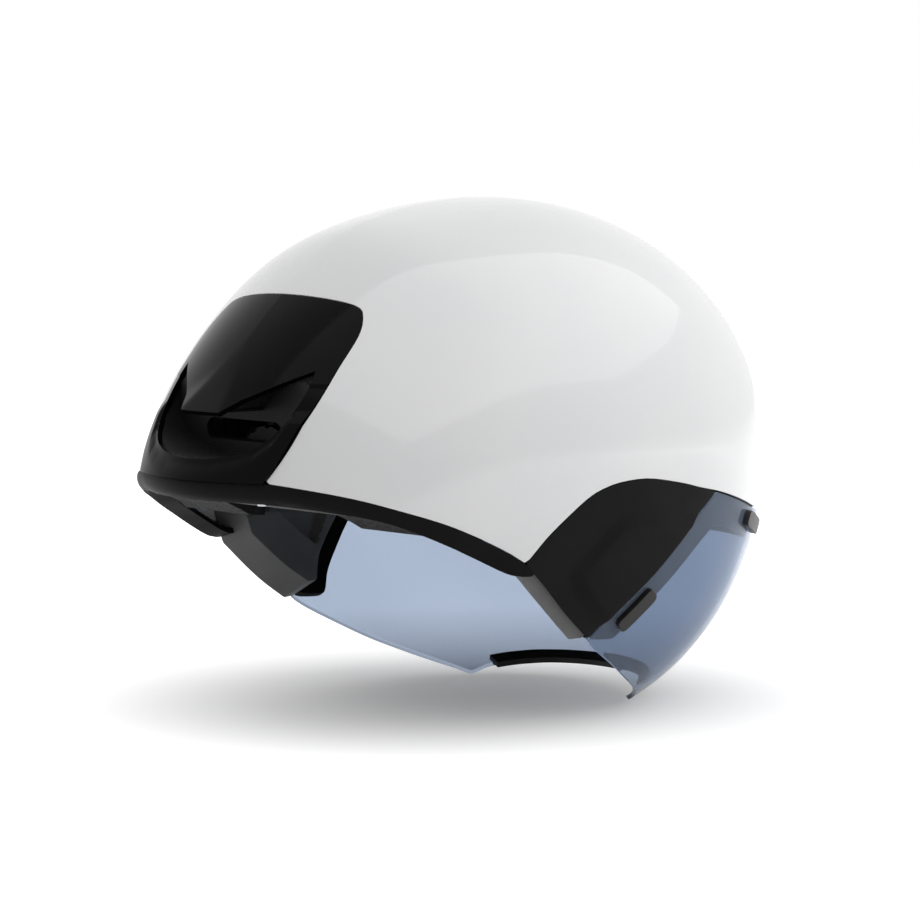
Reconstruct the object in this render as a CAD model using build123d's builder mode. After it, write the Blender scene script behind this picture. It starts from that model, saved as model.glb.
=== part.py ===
"""Aero time trial helmet: hard shell, foam liner, clip-on visor and head-fit system.

The frame sits in the head cavity: +X towards the face, +Y to the wearer's left, +Z up, millimetres.
Every outer piece is a layer of one closed egg, cut along lines that are drawn in the side view.
"""

import os
from math import acos, cos, pi, radians, sin, sqrt, tan

from build123d import *

os.makedirs("parts", exist_ok=True)

# Outer egg: reach of each side from the origin
half_width = 118.0
front_reach = 148.0
tail_reach = 152.5
crown_height = 125.0
chin_depth = 116.0
girth_height = 15.0
widest_x = 24.0
crown_x = 17.0
rear_draw = 225.0
tail_rise = 29.0
tail_curl = 30.0
tail_rise_span = 75.0
tail_round = 14.0
tail_bow_radius = 76.0
egg_powers_up = (1.97, 1.7, 2.22)
egg_powers_low = (2.1, 2.1, 2.1)
plan_front_power = 2.05
plan_rear_power = 1.6
egg_level_shares_low = (0.92, 0.83, 0.70, 0.54, 0.34, 0.14)
egg_level_shares_up = (0.06, 0.22, 0.38, 0.54, 0.68, 0.80, 0.89, 0.95, 0.985)
egg_ring_points = 36

# Layers under the outer surface, as depths from it
skin_thickness = 2.4
layer_gap = 0.3
lens_thickness = 2.2
frame_thickness = 3.8
ear_inner_thickness = 7.6
seam = 0.3
visor_gap = 0.5
sill_lap = 9.0
overrun = 40.0

# Head cavity
cavity_x = 18.0
cavity_half_length = 106.0
cavity_half_width = 83.0
cavity_top = 92.0
cavity_shoulder = 8.0
cavity_power = 2.3
cavity_level_shares = (0.18, 0.36, 0.52, 0.66, 0.78, 0.88, 0.95, 0.985)

# Side-view lines: x as a share of front or tail reach, z of crown height or chin depth
panel_foot_shares = ((-1.13, 0.084), (-0.93, 0.088))
hem_shares = (
    (-0.93, 0.088),
    (-0.8, 0.044),
    (-0.695, 0.0),
    (-0.57, -0.06),
    (-0.433, -0.147),
    (-0.354, -0.207),
)
panel_side_shares = (
    (-0.93, 0.088),
    (-0.84, 0.272),
    (-0.741, 0.44),
    (-0.649, 0.56),
    (-0.607, 0.62),
    (-0.6, 0.645),
    (-0.615, 0.664),
    (-0.66, 0.69),
    (-0.78, 0.75),
)
brow_shares = (
    (-0.354, -0.207),
    (-0.3, -0.112),
    (-0.23, -0.026),
    (-0.177, 0.024),
    (-0.131, 0.048),
    (-0.072, 0.064),
    (0.02, 0.068),
    (0.149, 0.044),
    (0.23, 0.022),
    (0.331, -0.009),
    (0.466, -0.069),
    (0.541, -0.095),
    (0.676, -0.129),
    (0.845, -0.155),
    (1.12, -0.17),
)
ear_top_count = 9
ear_rear_shares = ((-0.315, -0.254), (-0.282, -0.293), (-0.19, -0.405), (-0.105, -0.491), (-0.079, -0.513))
ear_front_shares = (
    (-0.079, -0.513),
    (-0.05, -0.397),
    (0.027, -0.267),
    (0.108, -0.155),
    (0.189, -0.034),
    (0.23, 0.022),
)
band_foot_shares = (
    (-0.315, -0.254),
    (-0.38, -0.246),
    (-0.485, -0.181),
    (-0.564, -0.129),
    (-0.695, -0.052),
    (-0.8, -0.013),
    (-0.892, 0.008),
    (-1.0, 0.018),
    (-1.13, 0.018),
)
frame_foot_shares = (
    (-0.079, -0.517),
    (0.02, -0.528),
    (0.034, -0.517),
    (0.101, -0.397),
    (0.236, -0.233),
    (0.284, -0.177),
    (0.331, -0.147),
    (0.405, -0.168),
    (0.527, -0.211),
    (0.743, -0.263),
    (1.12, -0.293),
)
visor_foot_shares = (
    (-0.079, -0.521),
    (-0.04, -0.56),
    (0.081, -0.647),
    (0.169, -0.707),
    (0.284, -0.776),
    (0.385, -0.836),
)
nose_shares = ((0.432, -0.845), (0.486, -0.823), (0.581, -0.797), (0.682, -0.784), (1.1, -0.741))
tip_share = (0.409, -0.856)
liner_sill_shares = (
    (-1.05, 0.046),
    (-0.892, 0.034),
    (-0.8, 0.012),
    (-0.695, -0.026),
    (-0.564, -0.103),
    (-0.4, -0.103),
    (-0.2, -0.078),
    (0.0, -0.06),
    (0.27, -0.078),
    (0.541, -0.129),
    (0.811, -0.164),
    (1.12, -0.181),
)

# Exhaust in the tail, in rear-view shares of half width and crown height
vent_floor_shares = (
    (0.0, 0.154),
    (0.119, 0.16),
    (0.203, 0.176),
    (0.271, 0.2),
    (0.322, 0.248),
    (0.352, 0.336),
    (0.356, 0.416),
)
vent_hood_shares = ((0.347, 0.444), (0.254, 0.4), (0.152, 0.348), (0.102, 0.304), (0.0, 0.3))
tray_wall = 1.6
tray_end_x = -118.0
tray_slot_z = 29.0
tray_slot_width = 48.0
tray_slot_height = 9.0
hood_nose_x = -144.2
hood_root_x = -100.0
hood_apex_x = -113.0
hood_apex_z = 70.0
hood_wing_x = -112.0

# Visor fittings, centres in side-view shares
cap_length = 20.0
cap_width = 7.0
cap_height = 2.6
cap_corner = 2.0
glue_line = 0.05
low_cap_share = (0.052, -0.422)
low_cap_angle = 48.0
brow_cap_share = (0.588, -0.152)
brow_cap_angle = -14.0
magnet_length = 13.0
magnet_width = 4.0
magnet_thickness = 1.6
trim_up = 3.2
trim_down = 1.4
trim_stand = 1.1
trim_start_share = 0.486

# Ear covers
bump_stand = 0.9
bump_shares = (
    (0.142, -0.073),
    (0.061, -0.056),
    (-0.059, -0.078),
    (-0.131, -0.155),
    (-0.178, -0.25),
    (-0.177, -0.319),
    (-0.105, -0.431),
)
bump_front_shares = ((-0.088, -0.435), (-0.066, -0.388), (0.004, -0.267), (0.085, -0.155), (0.135, -0.086))
ear_lip = 1.2
pocket_depth = 3.0
pocket_shares = ((-0.24, -0.19), (0.08, -0.19), (-0.118, -0.414))
ear_screw_shares = ((-0.16, 0.01), (0.1, -0.02))
screw_radius = 1.2
screw_head_radius = 2.3
screw_head_height = 1.4
screw_sink = 0.8
screw_fit = 0.1

# Lower band and undertray
flange_height = 2.4
tray_plate = 2.0
tray_plate_lift = 0.4
tray_front_x = -116.0
tray_screw_x = -128.0
tray_screw_y = 22.0
tray_screw_bite = 9.0

# Liner channels and recess behind the dial
channel_width = 14.0
channel_depth = 7.0
channel_pitch = 30.0
recess_rear_x = -112.0
recess_front_x = -70.0
recess_half_width = 36.0
recess_top = 36.0

# Comfort pads
pad_gap = 0.3
pad_thickness = 6.0
pad_corner = 6.0
brow_pad_width = 112.0
brow_pad_height = 24.0
brow_pad_z = 10.0
crown_pad_length = 42.0
crown_pad_width = 58.0
crown_pad_front_x = 56.0
crown_pad_rear_x = -28.0
temple_pad_length = 34.0
temple_pad_height = 26.0
temple_pad_x = 66.0
temple_pad_z = 26.0

# Chin strap, fastened and tucked up against the liner
web_thickness = 1.6
web_width = 14.0
web_middle_x = 8.0
web_front_x = 44.0
web_rear_x = -34.0
web_foot_z = -3.0
divider_z = 34.0
divider_length = 24.0
divider_height = 20.0
divider_thickness = 2.8
divider_corner = 5.0
bridge_z = 79.0
bridge_reach = 46.5
anchor_length = 18.0
anchor_height = 10.0
anchor_depth = 4.0
buckle_width = 22.0
buckle_thickness = 6.0
buckle_corner = 2.4
socket_length = 22.0
socket_start_y = -1.0
plug_length = 24.0
plug_gap = 0.4
prong_length = 12.0
prong_width = 15.0
prong_thickness = 2.4
prong_fit = 0.3
web_slot_gap = 0.4
web_bite = 6.0
buckle_travel = 13.0

# Fit system: basket circle, dial and toothed bands
basket_x = -24.0
basket_radius = 60.0
basket_wall = 2.4
basket_top = 30.0
basket_foot = -6.0
basket_half_angle = 36.0
arm_half_angle = 62.0
arm_height = 12.0
stem_first_angle = 12.0
stem_last_angle = 18.0
stem_top = 58.0
stem_room = 2.5
guide_foot = 38.0
guide_top = 47.0
guide_wall = 2.8
guide_slack_angle = 1.4
guide_grip_angle = 1.6
guide_fit_angle = 0.3
loop_angle = 4.5
loop_reach = 5.0
loop_wall = 2.1
dial_z = 13.0
band_inner_gap = 0.5
band_thickness = 2.2
band_gap = 0.2
band_end_angle = 72.0
rack_end_angle = 17.5
step_first_angle = 38.0
step_last_angle = 46.0
rack_top = 11.8
tooth_module = 1.0
pinion_teeth = 12
rack_half_teeth = 5
backlash = 0.4
addendum_share = 0.95
dedendum_share = 1.25
pressure_angle = 20.0
pinion_width = 2.4
hub_radius = 3.0
running_gap = 0.05
pinion_gap = 0.4
pocket_gap = 0.35
rack_room = 0.6
housing_width = 56.0
housing_height = 30.0
housing_back_x = -96.0
housing_corner = 6.0
housing_fit = 0.1
knob_radius = 17.0
knob_length = 10.5
knob_gap = 0.5
knob_grips = 12
grip_radius = 2.2
dial_screw_radius = 1.15
dial_screw_head_radius = 2.6
dial_screw_head = 1.6
dial_screw_length = 7.0
hub_end_x = -104.9
housing_front_x = -72.0
nape_pad_thickness = 3.0
nape_pad_half_angle = 30.0
nape_pad_rim = 3.0


def side(share):
    """Side-view point of a pair of shares."""
    reach = front_reach if share[0] > 0 else tail_reach
    height = crown_height if share[1] > 0 else chin_depth
    return (share[0] * reach, share[1] * height)


def line_of(shares, dx=0.0, dz=0.0):
    """Side-view line of a table of shares, moved by dx and dz."""
    return [(side(s)[0] + dx, side(s)[1] + dz) for s in shares]


def fullness(share, power):
    """Half girth of a rounded form at a share of its height."""
    return max(1.0 - share**power, 0.0) ** (1.0 / power)


def egg_ring(z, inset):
    """Plan points of the egg at height z, all sides drawn in by inset."""
    above = z >= girth_height
    rise = crown_height - inset - girth_height
    drop = girth_height + chin_depth - inset
    level = (z - girth_height) / rise if above else (girth_height - z) / drop
    front_power, rear_power, width_power = egg_powers_up if above else egg_powers_low
    middle = widest_x + (crown_x - widest_x) * level if above else widest_x
    front = (front_reach - inset - widest_x) * fullness(level, front_power)
    rear = (rear_draw - inset) * fullness(level, rear_power)
    width = (half_width - inset) * fullness(level, width_power)
    climb = (z - girth_height) / tail_rise_span
    points = []
    for i in range(egg_ring_points):
        turn = 2 * pi * i / egg_ring_points - pi
        along, across = cos(turn), abs(sin(turn))
        if along >= 0:
            x = middle + front * along ** (2 / plan_front_power)
            y = width * across ** (2 / plan_front_power)
        else:
            x = middle + rear * along
            y = width * across**plan_rear_power
        tail = inset - tail_reach + tail_rise * climb + tail_curl * max(climb, 0) ** 2
        tail = tail + y * y / (2 * tail_bow_radius)
        x = (x + tail + sqrt((x - tail) ** 2 + tail_round**2)) / 2
        points.append(Vector(x, y if sin(turn) >= 0 else -y))
    return points


def egg(inset):
    """Closed egg, drawn in by inset, cut flat below the visor's tips."""
    rise = crown_height - inset - girth_height
    drop = girth_height + chin_depth - inset
    levels = [girth_height - q * drop for q in egg_level_shares_low]
    levels += [girth_height + q * rise for q in egg_level_shares_up]
    steps = list(range(egg_ring_points + 1))
    with BuildPart() as body:
        for z in levels:
            with BuildSketch(Plane.XY.offset(z)):
                with BuildLine():
                    add(Edge.make_spline(egg_ring(z, inset), periodic=True, parameters=steps))
                make_face()
        loft(sections=[*body.pending_faces, Vertex(crown_x, 0, crown_height - inset)])
    return body.part


def cavity(inset):
    """Space for the head, drawn in by inset and open below."""
    with BuildPart() as body:
        with BuildSketch(Plane.XY.offset(cavity_shoulder)):
            with Locations((cavity_x, 0)):
                Ellipse(cavity_half_length - inset, cavity_half_width - inset)
        extrude(amount=-(cavity_shoulder + chin_depth))
        for q in (0.0, *cavity_level_shares):
            z = cavity_shoulder + q * (cavity_top - inset - cavity_shoulder)
            girth_share = fullness(q, cavity_power)
            long_radius = (cavity_half_length - inset) * girth_share
            with BuildSketch(Plane.XY.offset(z)):
                with Locations((cavity_x, 0)):
                    Ellipse(long_radius, (cavity_half_width - inset) * girth_share)
        loft(sections=[*body.pending_faces, Vertex(cavity_x, 0, cavity_top - inset)])
    return body.part


def save(part, name):
    """Label a finished part and write its file."""
    part.label = name
    export_step(part, "parts/" + name + ".step")


def side_face(*runs):
    """Side-view face inside the runs of points: smooth within a run, straight between runs."""
    with BuildSketch(Plane.XZ) as face:
        with BuildLine():
            for i, run in enumerate(runs):
                follower = runs[(i + 1) % len(runs)]
                if len(run) > 2:
                    Spline(run)
                elif len(run) == 2:
                    Line(run[0], run[1])
                if run[-1] != follower[0]:
                    Line(run[-1], follower[0])
        make_face()
    return face.sketch


def half_breadth(x, z, inset):
    """Half width of the egg at x and z, drawn in by inset."""
    ring = [p for p in egg_ring(z, inset) if p.Y > 0]
    ring.sort(key=lambda p: p.X)
    for low, high in zip(ring, ring[1:]):
        if low.X <= x <= high.X:
            return low.Y + (high.Y - low.Y) * (x - low.X) / (high.X - low.X)
    return half_width - inset


def foot_z(x):
    """Height of the lower band's edge at x."""
    points = sorted(line_of(band_foot_shares))
    for low, high in zip(points, points[1:]):
        if low[0] <= x <= high[0]:
            return low[1] + (high[1] - low[1]) * (x - low[0]) / (high[0] - low[0])
    return points[0][1]


def vent_line(shares, grow, mirrored=False):
    """Rear-view line of the exhaust, grown outwards from its middle."""
    middle = (vent_floor_shares[0][1] + vent_hood_shares[-1][1]) / 2 * crown_height
    points = []
    for y_share, z_share in shares:
        y, z = y_share * half_width, z_share * crown_height - middle
        stretch = 1 + grow / sqrt(y * y + z * z)
        points.append((-y * stretch if mirrored else y * stretch, middle + z * stretch))
    return points


def vent_face(grow, x):
    """Whole outline of the exhaust, in the rear-view plane at x."""
    floor = vent_line(vent_floor_shares[:0:-1], grow, True) + vent_line(vent_floor_shares, grow)
    hood = vent_line(vent_hood_shares, grow) + vent_line(vent_hood_shares[-2::-1], grow, True)
    with BuildSketch(Plane.YZ.offset(x)) as face:
        with BuildLine():
            Spline(floor)
            Polyline(floor[-1], *hood, floor[0])
        make_face()
    return face.sketch


def arc_band(inner, outer, first, last, z):
    """Ring sector about the basket's axis at height z, by angles from the rear towards the left."""
    with BuildSketch(Plane.XY.offset(z)) as face:
        with BuildLine():
            out_arc = CenterArc((basket_x, 0), outer, 180 - last, last - first)
            in_arc = CenterArc((basket_x, 0), inner, 180 - last, last - first)
            Line(out_arc @ 0, in_arc @ 0)
            Line(out_arc @ 1, in_arc @ 1)
        make_face()
    return face.sketch


# Eggs and cavities that the pieces share
under_depth = skin_thickness + layer_gap
frame_depth = under_depth + frame_thickness
ear_inner_depth = under_depth + ear_inner_thickness
wide = half_width + overrun
egg_outer = egg(0)
egg_skin = egg(skin_thickness)
egg_under = egg(under_depth)
egg_ear_inner = egg(ear_inner_depth)
egg_core = egg(ear_inner_depth + layer_gap)

with BuildPart() as skin_layer:
    add(egg_outer)
    add(egg_skin, mode=Mode.SUBTRACT)
with BuildPart() as rim_layer:
    add(egg_outer)
    add(egg_ear_inner, mode=Mode.SUBTRACT)

# Side-view lines that several pieces follow
hem = line_of(hem_shares)
brow = line_of(brow_shares)
panel_side = line_of(panel_side_shares)
ear_rear = line_of(ear_rear_shares)
ear_front = line_of(ear_front_shares)
band_foot = line_of(band_foot_shares)
frame_foot = line_of(frame_foot_shares)
nose = line_of(nose_shares)
above_crown = crown_height + overrun
past_nose = front_reach + overrun
past_tail = -tail_reach - overrun


# Shell: white, from the hem and brow up to the tail panel
with BuildPart() as outer_shell:
    shell_hem = line_of(hem_shares, 0, seam)
    shell_side = line_of(panel_side_shares[:0:-1], seam, seam)
    extrude(
        side_face(
            shell_hem,
            line_of(brow_shares, 0, seam),
            [(past_nose, above_crown)],
            [(shell_side[0][0], above_crown)],
            shell_side + shell_hem[:1],
        ),
        amount=wide,
        both=True,
    )
    add(skin_layer.part, mode=Mode.INTERSECT)
save(outer_shell.part, "outer_shell")

# Tail fairing: gloss panel with the exhaust and its hood
hood_edge_y = vent_hood_shares[-2][0] * half_width
hood_edge_z = vent_hood_shares[-1][1] * crown_height
hood_wing_y = vent_floor_shares[-1][0] * half_width
hood_wing_z = vent_hood_shares[0][1] * crown_height
with BuildPart() as hood:
    ConvexPolyhedron(
        [(hood_apex_x, 0, hood_apex_z), (hood_root_x, 0, hood_edge_z)]
        + [(hood_nose_x, way * hood_edge_y, hood_edge_z) for way in (1, -1)]
        + [(hood_wing_x, way * hood_wing_y, hood_wing_z) for way in (1, -1)]
    )
    add(egg_skin, mode=Mode.SUBTRACT)
with BuildPart() as tail_fairing:
    panel_foot = line_of(panel_foot_shares, 0, seam)
    panel_face = side_face(panel_foot, panel_foot[1:] + panel_side[1:], [(past_tail, above_crown)])
    extrude(panel_face, amount=wide, both=True)
    add(skin_layer.part, mode=Mode.INTERSECT)
    add(hood.part)
    extrude(vent_face(0, hood_root_x), amount=-tail_reach, mode=Mode.SUBTRACT)
save(tail_fairing.part, "tail_fairing")

# Exhaust tray: box behind the vent, open to the rear, with one slot in its front wall
with BuildPart() as exhaust_tray:
    extrude(vent_face(tray_wall, tray_end_x), amount=-tail_reach)
    add(egg_under, mode=Mode.INTERSECT)
    extrude(vent_face(0, tray_end_x - tray_wall), amount=-tail_reach, mode=Mode.SUBTRACT)
    with BuildSketch(Plane.YZ.offset(tray_end_x)):
        with Locations((0, tray_slot_z)):
            SlotOverall(tray_slot_width, tray_slot_height)
    extrude(amount=tray_wall, both=True, mode=Mode.SUBTRACT)
save(exhaust_tray.part, "exhaust_tray")

# Lower band: matte strip under the hem, turned in along its foot
notch_share = flange_height / (hem[-1][1] - band_foot[0][1])
band_lip = line_of(band_foot_shares[:0:-1], 0, flange_height)
band_lip += [tuple(low + notch_share * (high - low) for low, high in zip(band_foot[0], hem[-1]))]
with BuildPart() as band_flange:
    extrude(side_face(band_foot, band_lip), amount=wide, both=True)
    add(rim_layer.part, mode=Mode.INTERSECT)
with BuildPart() as lower_band:
    extrude(side_face(hem, band_foot, line_of(panel_foot_shares[:1])), amount=wide, both=True)
    add(skin_layer.part, mode=Mode.INTERSECT)
    add(band_flange.part)
save(lower_band.part, "lower_band")

# Undertray: flat cover under the tail, behind the opening for the dial
tray_low = line_of(band_foot_shares[4:], 0, tray_plate_lift)
tray_high = line_of(band_foot_shares[:3:-1], 0, tray_plate_lift + tray_plate)
tray_seat_z = foot_z(tray_screw_x) + tray_plate_lift + tray_plate / 2
tray_screw_spots = [(tray_screw_x, way * tray_screw_y) for way in (1, -1)]
with BuildPart() as undertray:
    extrude(side_face(tray_low, tray_high), amount=wide, both=True)
    add(egg_core, mode=Mode.INTERSECT)
    split(bisect_by=Plane.YZ.offset(tray_front_x), keep=Keep.BOTTOM)
    with BuildSketch(Plane.XY.offset(tray_seat_z - overrun)):
        with Locations(tray_screw_spots):
            Circle(screw_head_radius + seam)
    extrude(amount=overrun, mode=Mode.SUBTRACT)
    with BuildSketch(Plane.XY.offset(tray_seat_z)):
        with Locations(tray_screw_spots):
            Circle(screw_radius + screw_fit)
    extrude(amount=tray_plate, mode=Mode.SUBTRACT)
save(undertray.part, "undertray")

# Undertray screws: two pan heads that bite into the liner
with BuildPart() as undertray_screws:
    with BuildSketch(Plane.XY.offset(tray_seat_z)):
        with Locations(tray_screw_spots):
            Circle(screw_head_radius)
    extrude(amount=-screw_head_height)
    with BuildSketch(Plane.XY.offset(tray_seat_z)):
        with Locations(tray_screw_spots):
            Circle(screw_radius)
    extrude(amount=tray_screw_bite)
save(undertray_screws.part, "undertray_screws")

# Ear covers: outer plates with a raised bump over the ear
ear_top = brow[:ear_top_count]
bump = line_of(bump_shares)
with BuildPart() as bump_layer:
    extrude(side_face(bump, line_of(bump_front_shares)), amount=wide)
    add(egg(-bump_stand), mode=Mode.INTERSECT)
    add(egg_skin, mode=Mode.SUBTRACT)
ear_spots = [side(share) for share in ear_screw_shares]
with BuildPart() as ear_cover_right:
    extrude(side_face(ear_top, ear_front[::-1], ear_rear[::-1]), amount=wide)
    add(skin_layer.part, mode=Mode.INTERSECT)
    add(bump_layer.part)
    for x, z in ear_spots:
        with BuildSketch(Plane.XZ.offset(half_breadth(x, z, skin_thickness / 2))):
            with Locations((x, z)):
                Circle(screw_radius + screw_fit)
        extrude(amount=-skin_thickness * 2, mode=Mode.SUBTRACT)
save(ear_cover_right.part, "ear_cover_right")
with BuildPart() as ear_cover_left:
    mirror(ear_cover_right.part, about=Plane.XZ)
save(ear_cover_left.part, "ear_cover_left")

# Ear inners: thick side flaps that hang from the liner and carry the covers
inner_rear = line_of(ear_rear_shares[:-1], ear_lip, ear_lip / 2)
inner_front = line_of(ear_front_shares, -seam, 0)
inner_top = line_of(brow_shares[:ear_top_count], 0, sill_lap)
inner_top[-1] = (inner_front[-1][0], inner_top[-1][1])
pocket = [side(share) for share in pocket_shares]
with BuildPart() as pocket_layer:
    with BuildSketch(Plane.XZ):
        with BuildLine():
            Polyline(*pocket, close=True)
        make_face()
        fillet(vertices(), radius=pad_corner)
    extrude(amount=wide)
    add(egg(ear_inner_depth - pocket_depth), mode=Mode.INTERSECT)
with BuildPart() as ear_inner_right:
    extrude(side_face(inner_top, inner_front[::-1], inner_rear[::-1]), amount=wide)
    add(egg_under, mode=Mode.INTERSECT)
    add(egg_ear_inner, mode=Mode.SUBTRACT)
    add(pocket_layer.part, mode=Mode.SUBTRACT)
    for x, z in ear_spots:
        seat = half_breadth(x, z, ear_inner_depth) + screw_sink + screw_head_height
        with BuildSketch(Plane.XZ.offset(seat)):
            with Locations((x, z)):
                Circle(screw_head_radius + screw_fit)
        extrude(amount=-overrun, mode=Mode.SUBTRACT)
        with BuildSketch(Plane.XZ.offset(seat)):
            with Locations((x, z)):
                Circle(screw_radius + screw_fit)
        extrude(amount=overrun, mode=Mode.SUBTRACT)
save(ear_inner_right.part, "ear_inner_right")
with BuildPart() as ear_inner_left:
    mirror(ear_inner_right.part, about=Plane.XZ)
save(ear_inner_left.part, "ear_inner_left")

# Ear screws: two a side, from the inner flap into the cover
with BuildPart() as ear_screws:
    for x, z in ear_spots:
        seat = half_breadth(x, z, ear_inner_depth) + screw_sink + screw_head_height
        tip = half_breadth(x, z, skin_thickness / 2) - screw_fit
        with BuildSketch(Plane.XZ.offset(seat)):
            with Locations((x, z)):
                Circle(screw_head_radius)
        extrude(amount=-screw_head_height)
        with BuildSketch(Plane.XZ.offset(seat)):
            with Locations((x, z)):
                Circle(screw_radius)
        extrude(amount=tip - seat)
    mirror(about=Plane.XZ)
save(ear_screws.part, "ear_screws")

# Eyeport frame: one strip from ear to ear that the visor closes on
frame_front = line_of(ear_front_shares, seam, 0)
frame_top = line_of(brow_shares[ear_top_count - 1 :], 0, sill_lap)
frame_top[0] = (frame_front[-1][0], frame_top[0][1])
with BuildPart() as frame_blank:
    extrude(side_face(frame_front, frame_top, frame_foot[::-1]), amount=wide, both=True)
    add(egg_under, mode=Mode.INTERSECT)
    add(egg(frame_depth), mode=Mode.SUBTRACT)
cap_spots = ((side(low_cap_share), low_cap_angle), (side(brow_cap_share), brow_cap_angle))
with BuildPart() as magnet_bars:
    with BuildSketch(Plane.XZ):
        for spot, angle in cap_spots:
            with Locations(spot):
                Rectangle(magnet_length, magnet_width, rotation=angle)
    extrude(amount=wide, both=True)
with BuildPart() as magnet_wells:
    with BuildSketch(Plane.XZ):
        for spot, angle in cap_spots:
            with Locations(spot):
                Rectangle(magnet_length + 2 * glue_line, magnet_width + 2 * glue_line, rotation=angle)
    extrude(amount=wide, both=True)
    add(egg(under_depth + magnet_thickness + glue_line), mode=Mode.SUBTRACT)
with BuildPart() as eyeport_frame:
    add(frame_blank.part)
    add(magnet_wells.part, mode=Mode.SUBTRACT)
save(eyeport_frame.part, "eyeport_frame")

# Keeper magnets: four bars let into the frame
with BuildPart() as keeper_magnets:
    add(magnet_bars.part)
    add(egg_under, mode=Mode.INTERSECT)
    add(egg(under_depth + magnet_thickness), mode=Mode.SUBTRACT)
save(keeper_magnets.part, "keeper_magnets")

# Visor: one moulded lens that wraps from ear to ear, cut out over the nose
visor_top = line_of(brow_shares[ear_top_count - 1 :], 0, -visor_gap)
visor_rear = line_of(ear_front_shares, visor_gap, -visor_gap)
visor_top[0] = visor_rear[-1]
visor_foot = line_of(visor_foot_shares)
with BuildPart() as visor_lens:
    visor_face = side_face(visor_rear, visor_top, nose[::-1], [side(tip_share)], visor_foot[::-1])
    extrude(visor_face, amount=wide, both=True)
    add(egg_outer, mode=Mode.INTERSECT)
    add(egg(lens_thickness), mode=Mode.SUBTRACT)
save(visor_lens.part, "visor_lens")

# Nose trim: soft bead that grips the lens edge over the nose
with BuildPart() as nose_trim:
    trim_low = line_of(nose_shares, 0, -trim_down)
    trim_high = line_of(nose_shares[::-1], 0, trim_up)
    extrude(side_face(trim_low, trim_high), amount=wide, both=True)
    split(bisect_by=Plane.YZ.offset(trim_start_share * front_reach), keep=Keep.TOP)
    add(egg(-trim_stand), mode=Mode.INTERSECT)
    add(egg(lens_thickness + trim_stand), mode=Mode.SUBTRACT)
    add(visor_lens.part, mode=Mode.SUBTRACT)
save(nose_trim.part, "nose_trim")

# Visor caps: four mouldings on the lens, each over a magnet
egg_cap_foot = egg(-glue_line)
with BuildPart() as visor_magnets:
    add(magnet_bars.part)
    add(egg(-glue_line - magnet_thickness), mode=Mode.INTERSECT)
    add(egg_cap_foot, mode=Mode.SUBTRACT)
save(visor_magnets.part, "visor_magnets")
with BuildPart() as visor_caps:
    with BuildSketch(Plane.XZ):
        for spot, angle in cap_spots:
            with Locations(spot):
                RectangleRounded(cap_length, cap_width, cap_corner, rotation=angle)
    extrude(amount=wide, both=True)
    add(egg(-cap_height), mode=Mode.INTERSECT)
    add(egg_cap_foot, mode=Mode.SUBTRACT)
    add(visor_magnets.part, mode=Mode.SUBTRACT)
save(visor_caps.part, "visor_caps")

# Liner: foam shell between the skin and the head, with channels cut along the crown
sill = line_of(liner_sill_shares)
liner_brow = line_of(brow_shares, 0, sill_lap + seam)
with BuildPart() as liner_inner_layer:
    inner_face = side_face(sill[4:], [(past_nose, above_crown)], [(sill[4][0], above_crown)])
    extrude(inner_face, amount=wide, both=True)
    add(egg_core, mode=Mode.INTERSECT)
with BuildPart() as channels:
    with BuildSketch(Plane.XY.offset(-chin_depth)):
        with GridLocations(channel_pitch, channel_pitch, 1, 3):
            Rectangle(2 * (front_reach + tail_reach), channel_width)
    extrude(amount=chin_depth + above_crown)
    add(cavity(-channel_depth), mode=Mode.INTERSECT)
web_feet = ((web_front_x, web_foot_z), (web_rear_x, web_foot_z))
slack_first_angle = stem_first_angle - guide_slack_angle
slack_last_angle = stem_last_angle + guide_slack_angle
guide_first_angle = slack_first_angle - guide_grip_angle
guide_last_angle = slack_last_angle + guide_grip_angle
well_first_angle = guide_first_angle - guide_fit_angle
well_last_angle = guide_last_angle + guide_fit_angle
with BuildPart() as anchor_wells:
    with BuildSketch(Plane.XZ):
        with Locations(web_feet):
            Rectangle(anchor_length + 2 * pad_gap, anchor_height + 2 * pad_gap)
    extrude(amount=wide, both=True)
    add(cavity(-anchor_depth - pad_gap), mode=Mode.INTERSECT)
with BuildPart() as liner:
    extrude(
        side_face(sill[:5], liner_brow, [(past_nose, above_crown)], [(past_tail, above_crown)]),
        amount=wide,
        both=True,
    )
    add(egg_under, mode=Mode.INTERSECT)
    add(liner_inner_layer.part)
    add(cavity(0), mode=Mode.SUBTRACT)
    duct_face = vent_face(tray_wall + 2 * layer_gap, tray_end_x + layer_gap)
    extrude(duct_face, amount=-tail_reach, mode=Mode.SUBTRACT)
    with BuildSketch(Plane.YZ.offset(tray_end_x)):
        with Locations((0, tray_slot_z)):
            SlotOverall(tray_slot_width, tray_slot_height)
    extrude(amount=recess_front_x - tray_end_x, mode=Mode.SUBTRACT)
    with BuildSketch(Plane.XY.offset(recess_top)):
        with Locations(((recess_rear_x + recess_front_x) / 2, 0)):
            Rectangle(recess_front_x - recess_rear_x, 2 * recess_half_width)
    extrude(amount=-chin_depth, mode=Mode.SUBTRACT)
    add(channels.part, mode=Mode.SUBTRACT)
    add(anchor_wells.part, mode=Mode.SUBTRACT)
    for way in (1, -1):
        extrude(
            arc_band(
                basket_radius / 2,
                basket_radius + stem_room,
                *sorted((way * well_first_angle, way * well_last_angle)),
                recess_top - overrun / 2,
            ),
            amount=stem_top + stem_room - recess_top + overrun / 2,
            mode=Mode.SUBTRACT,
        )
    with BuildSketch(Plane.XY.offset(tray_seat_z)):
        with Locations(tray_screw_spots):
            Circle(screw_radius + screw_fit)
    extrude(amount=tray_screw_bite + screw_fit, mode=Mode.SUBTRACT)
save(liner.part, "liner")

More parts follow.
